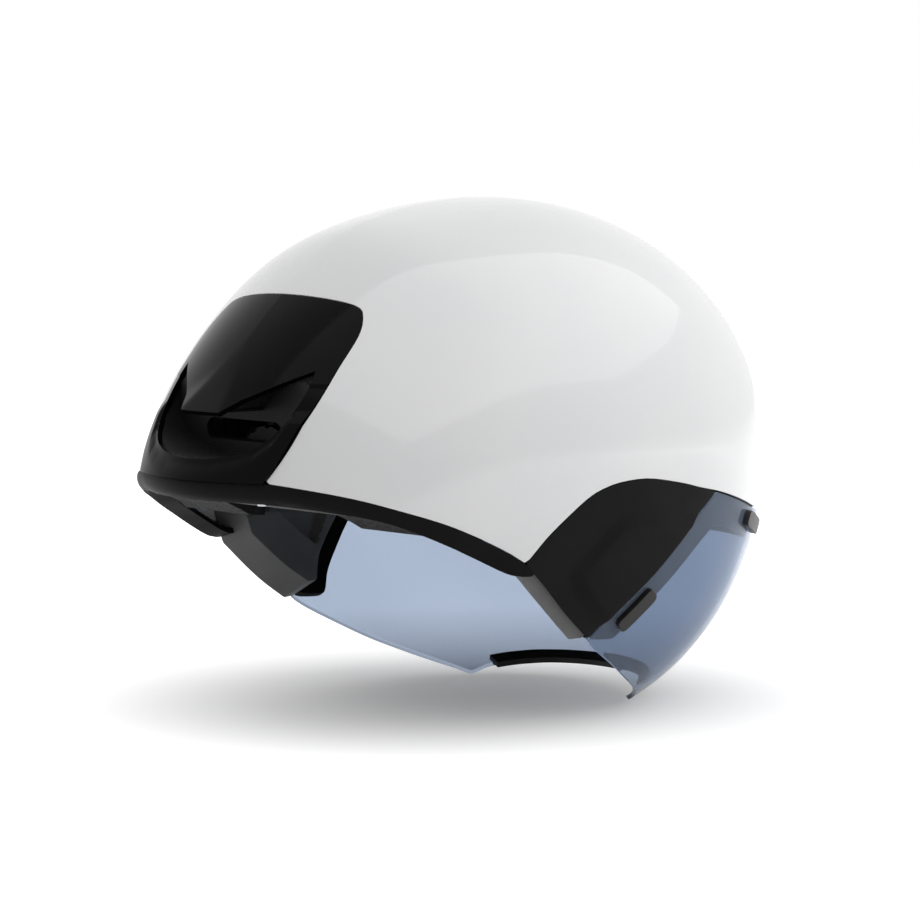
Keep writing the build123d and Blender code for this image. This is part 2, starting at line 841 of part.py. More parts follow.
# Comfort pads: five soft blocks against the liner
with BuildPart() as pad_layer:
    add(cavity(pad_gap))
    add(cavity(pad_gap + pad_thickness), mode=Mode.SUBTRACT)
with BuildPart() as brow_pad:
    with BuildSketch(Plane.YZ):
        with Locations((0, brow_pad_z)):
            RectangleRounded(brow_pad_width, brow_pad_height, pad_corner)
    extrude(amount=past_nose)
    add(pad_layer.part, mode=Mode.INTERSECT)
save(brow_pad.part, "brow_pad")
with BuildPart() as crown_pad_front:
    with BuildSketch():
        with Locations((crown_pad_front_x, 0)):
            RectangleRounded(crown_pad_length, crown_pad_width, pad_corner)
    extrude(amount=above_crown)
    add(pad_layer.part, mode=Mode.INTERSECT)
save(crown_pad_front.part, "crown_pad_front")
with BuildPart() as crown_pad_rear:
    with BuildSketch():
        with Locations((crown_pad_rear_x, 0)):
            RectangleRounded(crown_pad_length, crown_pad_width, pad_corner)
    extrude(amount=above_crown)
    add(pad_layer.part, mode=Mode.INTERSECT)
save(crown_pad_rear.part, "crown_pad_rear")
with BuildPart() as temple_pad_right:
    with BuildSketch(Plane.XZ):
        with Locations((temple_pad_x, temple_pad_z)):
            RectangleRounded(temple_pad_length, temple_pad_height, pad_corner)
    extrude(amount=wide)
    add(pad_layer.part, mode=Mode.INTERSECT)
save(temple_pad_right.part, "temple_pad_right")
with BuildPart() as temple_pad_left:
    mirror(temple_pad_right.part, about=Plane.XZ)
save(temple_pad_left.part, "temple_pad_left")


def web_face(start, end):
    """Side-view strip of webbing from start to end."""
    run = Vector(end[0] - start[0], end[1] - start[1]).normalized()
    dx, dz = -run.Y * web_width / 2, run.X * web_width / 2
    with BuildSketch(Plane.XZ) as face:
        with BuildLine():
            Polyline(
                (start[0] + dx, start[1] + dz),
                (end[0] + dx, end[1] + dz),
                (end[0] - dx, end[1] - dz),
                (start[0] - dx, start[1] - dz),
                close=True,
            )
        make_face()
    return face.sketch


# Chin strap: a forked web each side, joined by the buckle under the crown
plug_end_y = socket_start_y - plug_gap
socket_end_y = socket_start_y + socket_length
fork = (web_middle_x, divider_z)
with BuildPart() as web_layer:
    add(cavity(pad_gap))
    add(cavity(pad_gap + web_thickness), mode=Mode.SUBTRACT)
with BuildPart() as web_right:
    for foot in web_feet:
        extrude(web_face(foot, fork), amount=wide)
    with BuildSketch(Plane.XZ.offset(bridge_reach)):
        with Locations((web_middle_x, divider_z)):
            Rectangle(web_width, above_crown, align=(Align.CENTER, Align.MIN))
    extrude(amount=wide)
    add(web_layer.part, mode=Mode.INTERSECT)
with BuildPart() as strap_right:
    add(web_right.part)
    with BuildSketch(Plane.XZ.offset(plug_length - plug_end_y - web_bite)):
        with Locations((web_middle_x, bridge_z)):
            Rectangle(web_width, web_thickness)
    extrude(amount=bridge_reach + pad_gap - (plug_length - plug_end_y - web_bite))
save(strap_right.part, "strap_right")
with BuildPart() as strap_left:
    mirror(web_right.part, about=Plane.XZ)
    with BuildSketch(Plane.XZ.offset(web_bite - socket_end_y)):
        with Locations((web_middle_x, bridge_z)):
            Rectangle(web_width, web_thickness)
    extrude(amount=-(bridge_reach + pad_gap + web_bite - socket_end_y))
save(strap_left.part, "strap_left")

# Strap dividers: plates that hold the two legs of each web together
with BuildPart() as divider_right:
    with BuildSketch(Plane.XZ):
        with Locations(fork):
            RectangleRounded(divider_length, divider_height, divider_corner)
    extrude(amount=wide)
    add(cavity(2 * pad_gap + web_thickness), mode=Mode.INTERSECT)
    add(cavity(2 * pad_gap + web_thickness + divider_thickness), mode=Mode.SUBTRACT)
save(divider_right.part, "divider_right")
with BuildPart() as divider_left:
    mirror(divider_right.part, about=Plane.XZ)
save(divider_left.part, "divider_left")

# Strap anchors: four blocks let into the liner behind the feet of the webs
with BuildPart() as strap_anchors:
    with BuildSketch(Plane.XZ):
        with Locations(web_feet):
            Rectangle(anchor_length, anchor_height)
    extrude(amount=wide, both=True)
    add(cavity(-anchor_depth), mode=Mode.INTERSECT)
    add(cavity(0), mode=Mode.SUBTRACT)
save(strap_anchors.part, "strap_anchors")

# Buckle: a socket on the left web and a plug that slides along the right one
with BuildPart() as buckle_socket:
    with BuildSketch(Plane.XZ.offset(-socket_start_y)):
        with Locations((web_middle_x, bridge_z)):
            RectangleRounded(buckle_width, buckle_thickness, buckle_corner)
    extrude(amount=-socket_length)
    with BuildSketch(Plane.XZ.offset(-socket_start_y)):
        with Locations((web_middle_x, bridge_z)):
            Rectangle(prong_width + 2 * prong_fit, prong_thickness + 2 * prong_fit)
    extrude(amount=-prong_length, mode=Mode.SUBTRACT)
    with BuildSketch(Plane.XZ.offset(-socket_end_y)):
        with Locations((web_middle_x, bridge_z)):
            Rectangle(web_width + 2 * web_slot_gap, web_thickness + 2 * web_slot_gap)
    extrude(amount=web_bite + web_slot_gap, mode=Mode.SUBTRACT)
save(buckle_socket.part, "buckle_socket")
with BuildPart() as buckle_plug:
    with BuildSketch(Plane.XZ.offset(-plug_end_y)):
        with Locations((web_middle_x, bridge_z)):
            RectangleRounded(buckle_width, buckle_thickness, buckle_corner)
    extrude(amount=plug_length)
    with BuildSketch(Plane.XZ.offset(-plug_end_y)):
        with Locations((web_middle_x, bridge_z)):
            Rectangle(prong_width, prong_thickness)
    extrude(amount=-prong_length)
    with BuildSketch(Plane.XZ.offset(plug_length - plug_end_y)):
        with Locations((web_middle_x, bridge_z)):
            Rectangle(web_width + 2 * web_slot_gap, web_thickness + 2 * web_slot_gap)
    extrude(amount=-(web_bite + buckle_travel + web_slot_gap), mode=Mode.SUBTRACT)
save(buckle_plug.part, "buckle_plug")

# Cradle: basket behind the head with two side arms, two stems and a loop at each arm's end
basket_inner = basket_radius - basket_wall
arm_foot = dial_z - arm_height / 2
band_inner = basket_radius + band_inner_gap
band_outer = band_inner + band_thickness
with BuildPart() as cradle:
    extrude(
        arc_band(basket_inner, basket_radius, -basket_half_angle, basket_half_angle, basket_foot),
        amount=basket_top - basket_foot,
    )
    extrude(
        arc_band(basket_inner, basket_radius, -arm_half_angle, arm_half_angle, arm_foot),
        amount=arm_height,
    )
    for way in (1, -1):
        extrude(
            arc_band(
                basket_inner,
                basket_radius,
                *sorted((way * stem_first_angle, way * stem_last_angle)),
                basket_top,
            ),
            amount=stem_top - basket_top,
        )
        extrude(
            arc_band(
                basket_inner,
                basket_radius + loop_reach,
                *sorted((way * (arm_half_angle - loop_angle), way * arm_half_angle)),
                arm_foot - loop_wall,
            ),
            amount=arm_height + 2 * loop_wall,
        )
    extrude(
        arc_band(basket_radius, band_outer + band_gap, -arm_half_angle, arm_half_angle, arm_foot - band_gap),
        amount=arm_height + 2 * band_gap,
        mode=Mode.SUBTRACT,
    )
save(cradle.part, "cradle")

# Cradle guides: two sleeves in the liner that the stems slide in
with BuildPart() as cradle_guides:
    for way in (1, -1):
        extrude(
            arc_band(
                basket_inner - seam - guide_wall,
                basket_radius + seam + guide_wall / 2,
                *sorted((way * guide_first_angle, way * guide_last_angle)),
                guide_foot,
            ),
            amount=guide_top - guide_foot,
        )
        extrude(
            arc_band(
                basket_inner - running_gap,
                basket_radius + running_gap,
                *sorted((way * slack_first_angle, way * slack_last_angle)),
                guide_foot,
            ),
            amount=guide_top - guide_foot,
            mode=Mode.SUBTRACT,
        )
save(cradle_guides.part, "cradle_guides")

# Dial housing: block on the basket's back, hollow for the two toothed bands and the pinion
pitch_radius = tooth_module * pinion_teeth / 2
tip_radius = pitch_radius + addendum_share * tooth_module
root_radius = pitch_radius - dedendum_share * tooth_module
pinion_front_x = basket_x - basket_radius - pinion_gap
pinion_rear_x = pinion_front_x - pinion_width
with BuildPart() as dial_housing:
    with BuildSketch(Plane.YZ.offset(housing_back_x)):
        with Locations((0, dial_z)):
            RectangleRounded(housing_width, housing_height, housing_corner)
    extrude(amount=housing_front_x - housing_back_x)
    with BuildSketch(Plane.XY.offset(dial_z)):
        with Locations((basket_x, 0)):
            Circle(basket_radius + housing_fit)
    extrude(amount=housing_height, both=True, mode=Mode.SUBTRACT)
    extrude(
        arc_band(basket_inner, band_outer + band_gap, -basket_half_angle, basket_half_angle, dial_z),
        amount=rack_top + rack_room,
        both=True,
        mode=Mode.SUBTRACT,
    )
    with BuildSketch(Plane.YZ.offset(pinion_rear_x - band_gap)):
        with Locations((0, dial_z)):
            Circle(tip_radius + pocket_gap)
    extrude(amount=overrun, mode=Mode.SUBTRACT)
    with BuildSketch(Plane.YZ.offset(housing_back_x)):
        with Locations((0, dial_z)):
            Circle(hub_radius + running_gap)
    extrude(amount=overrun, mode=Mode.SUBTRACT)
save(dial_housing.part, "dial_housing")


def tooth_angle(radius):
    """Half angle of a pinion tooth at a radius, after the involute of its base circle."""
    pitch_lean = radians(pressure_angle)
    lean = acos(min(pitch_radius * cos(pitch_lean) / radius, 1.0))
    half = (pi * tooth_module - backlash) / (4 * pitch_radius)
    return half + tan(pitch_lean) - pitch_lean - tan(lean) + lean


# Dial pinion: small gear on a hub, one tooth pointing straight up
base_radius = pitch_radius * cos(radians(pressure_angle))
flank = [(r * cos(tooth_angle(r)), r * sin(tooth_angle(r))) for r in (base_radius, pitch_radius, tip_radius)]
flank = [(root_radius * cos(tooth_angle(base_radius)), root_radius * sin(tooth_angle(base_radius)))] + flank
with BuildPart() as dial_pinion:
    with BuildSketch(Plane.YZ.offset(pinion_rear_x)):
        with Locations((0, dial_z)):
            Circle(root_radius)
            with PolarLocations(0, pinion_teeth, start_angle=90):
                Polygon((0, 0), *[(x, -y) for x, y in flank], *flank[::-1], align=None)
    extrude(amount=pinion_width)
    with BuildSketch(Plane.YZ.offset(hub_end_x)):
        with Locations((0, dial_z)):
            Circle(hub_radius)
    extrude(amount=pinion_rear_x - hub_end_x)
    with BuildSketch(Plane.YZ.offset(hub_end_x)):
        with Locations((0, dial_z)):
            Circle(dial_screw_radius + running_gap)
    extrude(amount=dial_screw_length, mode=Mode.SUBTRACT)
save(dial_pinion.part, "dial_pinion")

# Dial knob: grooved cap pushed on the hub
knob_front_x = housing_back_x - knob_gap
knob_back_x = knob_front_x - knob_length
with BuildPart() as dial_knob:
    with BuildSketch(Plane.YZ.offset(knob_back_x)):
        with Locations((0, dial_z)):
            Circle(knob_radius)
            with PolarLocations(knob_radius + grip_radius / 2, knob_grips):
                Circle(grip_radius, mode=Mode.SUBTRACT)
    extrude(amount=knob_length)
    with BuildSketch(Plane.YZ.offset(hub_end_x)):
        with Locations((0, dial_z)):
            Circle(hub_radius + glue_line)
    extrude(amount=knob_length, mode=Mode.SUBTRACT)
    with BuildSketch(Plane.YZ.offset(knob_back_x)):
        with Locations((0, dial_z)):
            Circle(dial_screw_radius + running_gap)
    extrude(amount=knob_length, mode=Mode.SUBTRACT)
    with BuildSketch(Plane.YZ.offset(knob_back_x)):
        with Locations((0, dial_z)):
            Circle(dial_screw_head_radius + running_gap)
    extrude(amount=dial_screw_head, mode=Mode.SUBTRACT)
save(dial_knob.part, "dial_knob")

# Dial screw: holds the knob on the hub
with BuildPart() as dial_screw:
    with BuildSketch(Plane.YZ.offset(knob_back_x)):
        with Locations((0, dial_z)):
            Circle(dial_screw_head_radius)
    extrude(amount=dial_screw_head)
    with BuildSketch(Plane.YZ.offset(knob_back_x)):
        with Locations((0, dial_z)):
            Circle(dial_screw_radius)
    extrude(amount=dial_screw_head + dial_screw_length)
save(dial_screw.part, "dial_screw")

# Tension bands: toothed strips above and below the pinion, each running out through one arm's loop
tooth_turn = pi * tooth_module / (band_inner + band_thickness / 2)
gap_half = (pi * tooth_module + backlash) / 4
gap_lean = dedendum_share * tooth_module * tan(radians(pressure_angle))
gap_low = pitch_radius - dedendum_share * tooth_module
gap_high = pitch_radius + dedendum_share * tooth_module
with BuildPart() as band_left:
    extrude(
        arc_band(
            band_inner,
            band_outer,
            -rack_end_angle,
            step_last_angle,
            dial_z + pitch_radius - addendum_share * tooth_module,
        ),
        amount=rack_top - pitch_radius + addendum_share * tooth_module,
    )
    extrude(
        arc_band(band_inner, band_outer, step_first_angle, band_end_angle, arm_foot),
        amount=arm_height,
    )
    for i in range(-rack_half_teeth, rack_half_teeth + 1):
        turn = i * tooth_turn
        along_band = (-sin(turn), -cos(turn), 0)
        outward = Plane(origin=(basket_x, 0, dial_z), x_dir=along_band, z_dir=(-cos(turn), sin(turn), 0))
        with BuildSketch(outward.offset(band_inner - band_gap)):
            Polygon(
                (-gap_half - gap_lean, gap_low),
                (gap_half + gap_lean, gap_low),
                (gap_half - gap_lean, gap_high),
                (gap_lean - gap_half, gap_high),
                align=None,
            )
        extrude(amount=band_thickness + 2 * band_gap, mode=Mode.SUBTRACT)
save(band_left.part, "band_left")
with BuildPart() as band_right:
    add(band_left.part.mirror(Plane.XZ).mirror(Plane.XY.offset(dial_z)))
save(band_right.part, "band_right")

# Nape pad: soft block inside the basket
with BuildPart() as nape_pad:
    extrude(
        arc_band(
            basket_inner - pad_gap - nape_pad_thickness,
            basket_inner - pad_gap,
            -nape_pad_half_angle,
            nape_pad_half_angle,
            basket_foot + nape_pad_rim,
        ),
        amount=basket_top - basket_foot - 2 * nape_pad_rim,
    )
save(nape_pad.part, "nape_pad")
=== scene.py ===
import bmesh
import bpy
import numpy as np
from math import cos, pi, radians, sin
from mathutils import Matrix, Vector


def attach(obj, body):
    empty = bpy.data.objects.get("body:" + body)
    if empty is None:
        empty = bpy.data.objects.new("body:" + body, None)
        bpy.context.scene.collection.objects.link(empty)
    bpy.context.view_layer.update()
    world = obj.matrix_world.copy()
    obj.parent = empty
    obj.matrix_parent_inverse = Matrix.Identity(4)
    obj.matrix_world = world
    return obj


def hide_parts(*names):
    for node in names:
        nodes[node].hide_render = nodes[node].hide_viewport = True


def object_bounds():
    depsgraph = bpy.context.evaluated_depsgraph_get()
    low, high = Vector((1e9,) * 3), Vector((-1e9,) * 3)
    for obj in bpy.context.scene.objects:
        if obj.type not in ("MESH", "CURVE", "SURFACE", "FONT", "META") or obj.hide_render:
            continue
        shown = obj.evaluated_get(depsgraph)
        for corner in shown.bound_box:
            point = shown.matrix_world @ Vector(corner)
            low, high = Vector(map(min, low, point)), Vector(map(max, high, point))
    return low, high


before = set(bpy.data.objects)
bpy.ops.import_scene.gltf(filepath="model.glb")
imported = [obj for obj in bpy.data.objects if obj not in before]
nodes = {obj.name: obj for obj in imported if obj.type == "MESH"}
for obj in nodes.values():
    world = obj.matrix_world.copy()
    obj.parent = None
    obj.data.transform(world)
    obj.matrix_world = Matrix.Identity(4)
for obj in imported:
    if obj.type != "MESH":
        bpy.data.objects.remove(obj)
cad_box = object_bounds()
MM = 0.001


# The place where the helmet is looked at: it stands on its visor's two tips on a white floor, seen from
# behind its right ear. The camera's angles, distance and framing are those of the photograph, which is
# 920 pixels square.
camera_turn = radians(43.54)
camera_tilt = radians(5.64)
camera_distance = 1500 * MM
focal_pixels = 3390
picture_pixels = 920
origin_pixel = (451.5, 480.0)
sensor = 36.0
right = Vector((cos(camera_turn), -sin(camera_turn), 0))
ahead = Vector((sin(camera_turn) * cos(camera_tilt), cos(camera_turn) * cos(camera_tilt), -sin(camera_tilt)))
upward = right.cross(ahead)
lens = bpy.data.cameras.new("camera")
lens.sensor_width = sensor
lens.lens = focal_pixels / picture_pixels * sensor
lens.shift_x = (picture_pixels / 2 - origin_pixel[0]) / picture_pixels
lens.shift_y = (origin_pixel[1] - picture_pixels / 2) / picture_pixels
lens.clip_end = 50
camera = bpy.data.objects.new("camera", lens)
stand = -ahead * camera_distance
camera.matrix_world = Matrix(
    (
        (right.x, upward.x, -ahead.x, stand.x),
        (right.y, upward.y, -ahead.y, stand.y),
        (right.z, upward.z, -ahead.z, stand.z),
        (0, 0, 0, 1),
    )
)
bpy.context.scene.collection.objects.link(camera)
bpy.context.scene.camera = camera
bpy.context.scene.view_settings.view_transform = "Standard"


class Wire:
    """A shader socket that takes sums, so that a finish reads as a formula."""

    def __init__(self, tree, out=None):
        self.tree = tree
        self.out = out

    def node(self, kind, settings, values, out=0):
        """Adds a node: its settings first, then a value or a wire for each named or numbered socket."""
        made = self.tree.nodes.new(kind)
        for name, value in settings.items():
            setattr(made, name, value)
        for key, value in values.items():
            if isinstance(value, Wire):
                self.tree.links.new(value.out, made.inputs[key])
            else:
                made.inputs[key].default_value = value
        return Wire(self.tree, made.outputs[out])

    def math(self, operation, first, second):
        """A Math node of two wires or numbers."""
        return self.node("ShaderNodeMath", {"operation": operation}, {0: first, 1: second})

    def __add__(self, other):
        return self.math("ADD", self, other)

    __radd__ = __add__

    def __sub__(self, other):
        return self.math("SUBTRACT", self, other)

    def __rsub__(self, other):
        return self.math("SUBTRACT", other, self)

    def __mul__(self, other):
        return self.math("MULTIPLY", self, other)

    __rmul__ = __mul__

    def most(self, other):
        """The larger of two values."""
        return self.math("MAXIMUM", self, other)

    def spread(self, low, high, to_low=0.0, to_high=1.0):
        """The value, taken from low..high to to_low..to_high and held at both ends."""
        values = {"Value": self, "From Min": low, "From Max": high, "To Min": to_low, "To Max": to_high}
        return self.node("ShaderNodeMapRange", {"clamp": True}, values)

    def mix(self, first, second):
        """A colour between first and second, by this value."""
        return self.node("ShaderNodeMix", {"data_type": "RGBA"}, {0: self, 6: first, 7: second}, out=2)


def grey(value, blue=0.0):
    """A colour of one value, a little bluer where asked."""
    return (value, value, value * (1 + blue), 1)


class Finish:
    """One material: its shader's fixed values, and the wires that vary over the surface."""

    def __init__(self, name, **fixed):
        self.material = bpy.data.materials.new(name)
        self.material.use_nodes = True
        self.tree = self.material.node_tree
        self.shader = self.tree.nodes["Principled BSDF"]
        self.start = Wire(self.tree)
        self.place = self.start.node("ShaderNodeTexCoord", {}, {}, out="Object")
        for socket, value in fixed.items():
            self.shader.inputs[socket.replace("_", " ").title().replace("Ior", "IOR")].default_value = value

    def feed(self, socket, wire):
        """Links a wire to one of the shader's sockets."""
        self.tree.links.new(wire.out, self.shader.inputs[socket])

    def noise(self, size, detail=2.0):
        """Soft noise with features of a size in metres."""
        values = {"Vector": self.place, "Scale": 1 / size, "Detail": detail}
        return self.start.node("ShaderNodeTexNoise", {}, values)

    def cells(self, size):
        """Distance to the nearest of scattered points, a size in metres apart."""
        return self.start.node("ShaderNodeTexVoronoi", {}, {"Vector": self.place, "Scale": 1 / size})

    def waves(self, size, direction):
        """Ridges across one direction, a size in metres apart; at a scale of 1 they are own_pitch apart."""
        own_pitch = 0.314
        values = {"Vector": self.place, "Scale": own_pitch / size}
        return self.start.node("ShaderNodeTexWave", {"bands_direction": direction}, values)

    def bump(self, height, strength, depth):
        """Feeds the shader's normal with a relief of a depth in metres."""
        values = {"Height": height, "Strength": strength, "Distance": depth}
        self.feed("Normal", self.start.node("ShaderNodeBump", {}, values))


floor_gap = 0.6 * MM
floor_height = cad_box[0][2] - floor_gap
floor_reach = 30.0
floor_mesh = bpy.data.meshes.new("floor")
floor_signs = ((-1, -1), (1, -1), (1, 1), (-1, 1))
floor_corners = [(x * floor_reach, y * floor_reach, floor_height) for x, y in floor_signs]
floor_mesh.from_pydata(floor_corners, [], [(0, 1, 2, 3)])
floor = bpy.data.objects.new("floor", floor_mesh)
bpy.context.scene.collection.objects.link(floor)
floor_white = Finish("floor_white", base_color=grey(0.8), roughness=0.7, specular_ior_level=0.0)
# The floor glows white to camera, gloss and transmission rays, but that glow is dimmed near a middle under
# the helmet, from a small share out to full white: a painted shadow, laid over the real shadow that the lamps
# cast.
painted_shadow_glow = 0.03
painted_shadow_reach = (0.05, 0.31)
painted_shadow_middle = (30 * MM, 0.0, 0.0)
ray_kinds = ("Is Camera Ray", "Is Glossy Ray", "Is Transmission Ray")
floor_rays = [floor_white.start.node("ShaderNodeLightPath", {}, {}, out=kind) for kind in ray_kinds]
from_middle = floor_white.start.node(
    "ShaderNodeVectorMath", {"operation": "DISTANCE"}, {0: floor_white.place, 1: painted_shadow_middle}, out="Value"
)
seen = floor_rays[0].most(floor_rays[1]).most(floor_rays[2])
# painted shadow: the glow falls off towards the middle under the helmet
floor_glow_with_painted_shadow = from_middle.spread(*painted_shadow_reach, painted_shadow_glow, 1.0) * seen
floor_white.feed("Emission Color", floor_glow_with_painted_shadow.mix(grey(0.0), grey(1.0)))
from_below = floor_white.start.node("ShaderNodeNewGeometry", {}, {}, out="Backfacing")
floor_white.feed("Alpha", 1 - from_below)
floor_white.shader.inputs["Emission Strength"].default_value = 1.0
floor_mesh.materials.append(floor_white.material)

world = bpy.data.worlds.new("studio")
world.use_nodes = True
bpy.context.scene.world = world
sky = Wire(world.node_tree)
sky_rays = [sky.node("ShaderNodeLightPath", {}, {}, out=kind) for kind in ray_kinds]
sky_light = 0.34
sky_glow = sky_rays[0].most(sky_rays[1]).most(sky_rays[2]).most(sky_light)
world.node_tree.links.new(sky_glow.out, world.node_tree.nodes["Background"].inputs["Strength"])
world.node_tree.nodes["Background"].inputs["Color"].default_value = grey(1.0)


def lamp(name, place, tilt, width, height, power, mirrored=True):
    """One soft box, turned by three angles from looking straight down; mirrored where gloss shows it."""
    light = bpy.data.lights.new(name, "AREA")
    light.shape = "RECTANGLE"
    light.size = width
    light.size_y = height
    light.energy = power
    holder = bpy.data.objects.new(name, light)
    holder.location = place
    holder.rotation_euler = [radians(angle) for angle in tilt]
    holder.visible_camera = False
    holder.visible_glossy = mirrored
    holder.visible_transmission = mirrored
    bpy.context.scene.collection.objects.link(holder)


lamp("top_box", (0.62, -1.77, 2.0), (0, 0, -14), 5.0, 4.0, 56)
lamp("far_box", (0.0, 1.5, 1.5), (-45, 0, 0), 1.7, 1.3, 5, mirrored=False)
lamp("side_box", (1.55, -1.6, 0.35), (81, 0, 44), 1.8, 1.4, 18, mirrored=False)


# Shell: the white outer skin, moulded in one piece from the brow to the tail panel and lacquered. Its form
# is an egg with a flattened, softly bowed tail. Every outer piece is a layer of that egg, cut along
# side-view lines.
half_width = 118.0
front_reach = 148.0
tail_reach = 152.5
crown_height = 125.0
chin_depth = 116.0
girth_height = 15.0
widest_x = 24.0
crown_x = 17.0
rear_draw = 225.0
tail_rise = 29.0
tail_curl = 30.0
tail_rise_span = 75.0
tail_round = 14.0
tail_bow_radius = 76.0
front_powers = (1.97, 2.1)
rear_powers = (1.7, 2.1)
width_powers = (2.22, 2.1)
plan_front_power = 2.05
plan_rear_power = 1.6
skin = 2.4
under = 2.7
seam = 0.3
edge_round = 0.6
shell_turns = 300
shell_levels = 64
shell_lowest = -32
hem_line = ((-142, 10.8), (-122, 5.5), (-106, 0), (-87, -7), (-66, -17), (-54, -24))
panel_side_line = (
    (-142, 10.8),
    (-127.6, 34),
    (-111.3, 55),
    (-98.0, 70),
    (-92.6, 77.5),
    (-91.5, 80.6),
    (-93.8, 83),
    (-100.7, 86.3),
    (-119, 93.8),
)
brow_line = (
    (-54, -24),
    (-45.8, -13),
    (-35.1, -3),
    (-27, 3),
    (-20, 6),
    (-11, 8),
    (3, 8.5),
    (22, 5.5),
    (34, 2.75),
    (46.2, 0.4),
    (57.7, -2.3),
    (74.3, -6.8),
    (86.7, -10.2),
    (103.6, -13.3),
    (125, -16.2),
    (166, -18),
)
above_crown = 165.0
past_nose = 188.0


def egg_point(z, turn, inset=0.0):
    """Points of the egg at heights z and turns about the upright axis, drawn in by inset."""
    above = z >= girth_height
    rise = crown_height - inset - girth_height
    drop = girth_height + chin_depth - inset
    level = np.clip(np.where(above, (z - girth_height) / rise, (girth_height - z) / drop), 0, 1)

    def full(powers):
        power = np.where(above, *powers)
        return np.maximum(1 - level**power, 0) ** (1 / power)

    middle = np.where(above, widest_x + (crown_x - widest_x) * level, widest_x)
    front = (front_reach - inset - widest_x) * full(front_powers)
    rear = (rear_draw - inset) * full(rear_powers)
    width = (half_width - inset) * full(width_powers)
    along, across = np.cos(turn), np.abs(np.sin(turn))
    forward = along >= 0
    x = np.where(forward, middle + front * np.abs(along) ** (2 / plan_front_power), middle + rear * along)
    y = width * np.where(forward, across ** (2 / plan_front_power), across**plan_rear_power)
    climb = (z - girth_height) / tail_rise_span
    tail = inset - tail_reach + tail_rise * climb + tail_curl * np.maximum(climb, 0) ** 2
    tail = tail + y**2 / (2 * tail_bow_radius)
    x = (x + tail + np.sqrt((x - tail) ** 2 + tail_round**2)) / 2
    return np.stack([x, np.where(np.sin(turn) >= 0, y, -y), z + 0 * x], axis=-1)


def smooth(points, steps=8):
    """A smooth run through given points."""
    points = np.array(points, float)
    if len(points) < 3:
        return points
    padded = np.vstack([2 * points[0] - points[1], points, 2 * points[-1] - points[-2]])
    run = []
    for a, b, c, d in zip(padded, padded[1:], padded[2:], padded[3:]):
        for t in np.linspace(0, 1, steps, endpoint=False):
            bend = (2 * a - 5 * b + 4 * c - d) * t**2 + (3 * b - a - 3 * c + d) * t**3
            run.append(0.5 * (2 * b + (c - a) * t + bend))
    return np.array(run + [points[-1]])


def moved(points, dx, dy):
    """A run of points, shifted."""
    return [(p[0] + dx, p[1] + dy) for p in points]


def outline(*runs):
    """A closed outline of runs: smooth within a run, straight between runs."""
    return np.vstack([smooth(run) for run in runs])


def depth_in(loop, axes=(0, 2)):
    """A function that gives how far points lie inside a closed outline, seen along one axis."""
    step = np.roll(loop, -1, axis=0) - loop
    length = np.maximum((step**2).sum(1), 1e-12)
    batch = 4000

    def field(points):
        values = []
        for chunk in np.array_split(points[:, axes], max(1, len(points) // batch)):
            reach = chunk[:, None, :] - loop[None]
            share = np.clip((reach * step).sum(2) / length, 0, 1)
            gap = np.sqrt((((reach - share[..., None] * step) ** 2).sum(2)).min(1))
            low = loop[None, :, 1] <= chunk[:, None, 1]
            high = np.roll(loop, -1, axis=0)[None, :, 1] > chunk[:, None, 1]
            side = step[None, :, 0] * reach[..., 1] - reach[..., 0] * step[None, :, 1]
            winding = (low & high & (side > 0)).sum(1) - (~low & ~high & (side < 0)).sum(1)
            values.append(np.where(winding != 0, gap, -gap))
        return np.concatenate(values)

    return field


def quads(grid, closed=False):
    """A bmesh of the quads between the rows of a grid of points, in millimetres."""
    sheet = bmesh.new()
    rows = [[sheet.verts.new(p) for p in row] for row in grid]
    for low, high in zip(rows, rows[1:]):
        for i in range(len(low) if closed else len(low) - 1):
            j = (i + 1) % len(low)
            sheet.faces.new((low[i], low[j], high[j], high[i]))
    return sheet


def egg_sheet(inset, turns, levels, lowest):
    """The whole egg above a height, as a sheet closed at the crown."""
    rise = crown_height - inset - girth_height
    drop = girth_height + chin_depth - inset
    low_turn = np.arcsin((girth_height - lowest) / drop)
    heights = np.concatenate(
        [
            girth_height - drop * np.sin(np.linspace(low_turn, 0, levels // 2, endpoint=False)),
            girth_height + rise * np.sin(np.linspace(0, pi / 2, levels, endpoint=False)),
        ]
    )
    around = np.linspace(0, 2 * pi, turns, endpoint=False)
    sheet = quads(egg_point(heights[:, None], around[None, :], inset), closed=True)
    sheet.verts.ensure_lookup_table()
    last = list(sheet.verts)[-turns:]
    apex = sheet.verts.new((crown_x, 0, crown_height - inset))
    for i in range(turns):
        sheet.faces.new((last[i], last[(i + 1) % turns], apex))
    return sheet


def egg_patch(loop, inset=0.0, step=2.0, middle=0.0, side=0):
    """The part of the egg behind a side-view outline, as a sheet of quads about a step wide."""
    low, high = loop.min(0) - 2 * step, loop.max(0) + 2 * step
    heights = np.linspace(low[1], high[1], int((high[1] - low[1]) / step) + 2)
    probes = 1441
    turns = middle + np.linspace(-pi, pi, probes)
    if side:
        turns = turns[np.sin(turns) * side > 0]
    points = egg_point(heights[:, None], turns[None, :], inset)
    near = ((points[..., 0] > low[0]) & (points[..., 0] < high[0])).any(0)
    first, last = turns[near][0], turns[near][-1]
    girth = np.linalg.norm(np.diff(egg_point(heights.mean(), turns[near], inset), axis=0), axis=1).sum()
    around = np.linspace(first, last, int(girth / step) + 2)
    return quads(egg_point(heights[:, None], around[None, :], inset))


